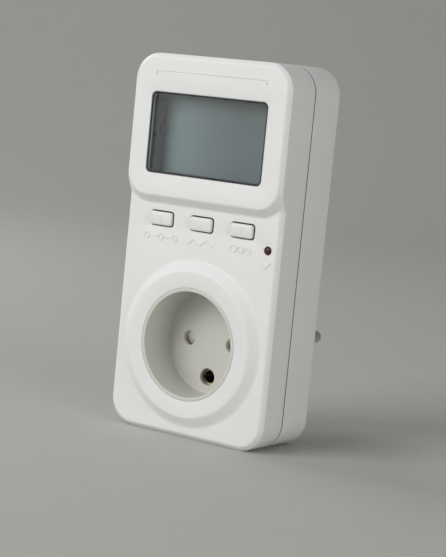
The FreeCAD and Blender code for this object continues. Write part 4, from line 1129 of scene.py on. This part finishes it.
class METER_OT_rear_shell(MeterOperator, bpy.types.Operator):
    """Add the rear shell with its plug boss, screw wells and plate recess"""
    bl_idname = "meter.rear_shell"
    bl_label = "Rear Shell"

    def build(self, context):
        add_rear_shell(context)


class METER_OT_socket(MeterOperator, bpy.types.Operator):
    """Add the cup that lines the socket's well"""
    bl_idname = "meter.socket"
    bl_label = "Socket Cup"

    def build(self, context):
        add_socket_cup(context)


class METER_OT_pins(MeterOperator, bpy.types.Operator):
    """Add the two round plug pins"""
    bl_idname = "meter.pins"
    bl_label = "Plug Pins"

    def build(self, context):
        add_pins(context)


class METER_OT_display(MeterOperator, bpy.types.Operator):
    """Add the display's holder, lens and glass"""
    bl_idname = "meter.display"
    bl_label = "Display"

    def build(self, context):
        add_display(context)


class METER_OT_keys(MeterOperator, bpy.types.Operator):
    """Add the three key caps"""
    bl_idname = "meter.keys"
    bl_label = "Key Caps"

    def build(self, context):
        add_keys(context)


class METER_OT_lamp(MeterOperator, bpy.types.Operator):
    """Add the red lamp"""
    bl_idname = "meter.lamp"
    bl_label = "Lamp"

    def build(self, context):
        add_lamp(context)


class METER_OT_inner_parts(MeterOperator, bpy.types.Operator):
    """Give the inner parts their materials and smooth shading"""
    bl_idname = "meter.inner_parts"
    bl_label = "Inner Parts"

    def build(self, context):
        finish_inner_parts()


class METER_OT_stage(MeterOperator, bpy.types.Operator):
    """Add the floor, lights and camera"""
    bl_idname = "meter.stage"
    bl_label = "Stage"

    def build(self, context):
        add_stage()


OPERATORS = (METER_OT_front_shell, METER_OT_rear_shell, METER_OT_socket, METER_OT_pins, METER_OT_display,
             METER_OT_keys, METER_OT_lamp, METER_OT_inner_parts, METER_OT_stage)


class METER_PT_panel(bpy.types.Panel):
    """Lists the builders and their sizes"""
    bl_label = "Power Meter"
    bl_idname = "METER_PT_panel"
    bl_space_type = "VIEW_3D"
    bl_region_type = "UI"
    bl_category = "Power Meter"

    def draw(self, context):
        for operator in OPERATORS:
            self.layout.operator(operator.bl_idname)
        for place, group in GROUPS.items():
            column = self.layout.column()
            for name in group.__annotations__:
                column.prop(getattr(context.scene, place), name)


def register():
    for group in GROUPS.values():
        bpy.utils.register_class(group)
    for operator in OPERATORS:
        bpy.utils.register_class(operator)
    bpy.utils.register_class(METER_PT_panel)
    for place, group in GROUPS.items():
        setattr(bpy.types.Scene, place, bpy.props.PointerProperty(type=group))


def unregister():
    for place in GROUPS:
        delattr(bpy.types.Scene, place)
    bpy.utils.unregister_class(METER_PT_panel)
    for operator in reversed(OPERATORS):
        bpy.utils.unregister_class(operator)
    for group in reversed(GROUPS.values()):
        bpy.utils.unregister_class(group)


def main():
    """Register the add-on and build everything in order."""
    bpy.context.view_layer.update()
    register()
    bpy.ops.meter.front_shell()
    bpy.ops.meter.rear_shell()
    bpy.ops.meter.socket()
    bpy.ops.meter.pins()
    bpy.ops.meter.display()
    bpy.ops.meter.keys()
    bpy.ops.meter.lamp()
    bpy.ops.meter.inner_parts()
    bpy.ops.meter.stage()
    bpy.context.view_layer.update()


if __name__ == "__main__":
    main()
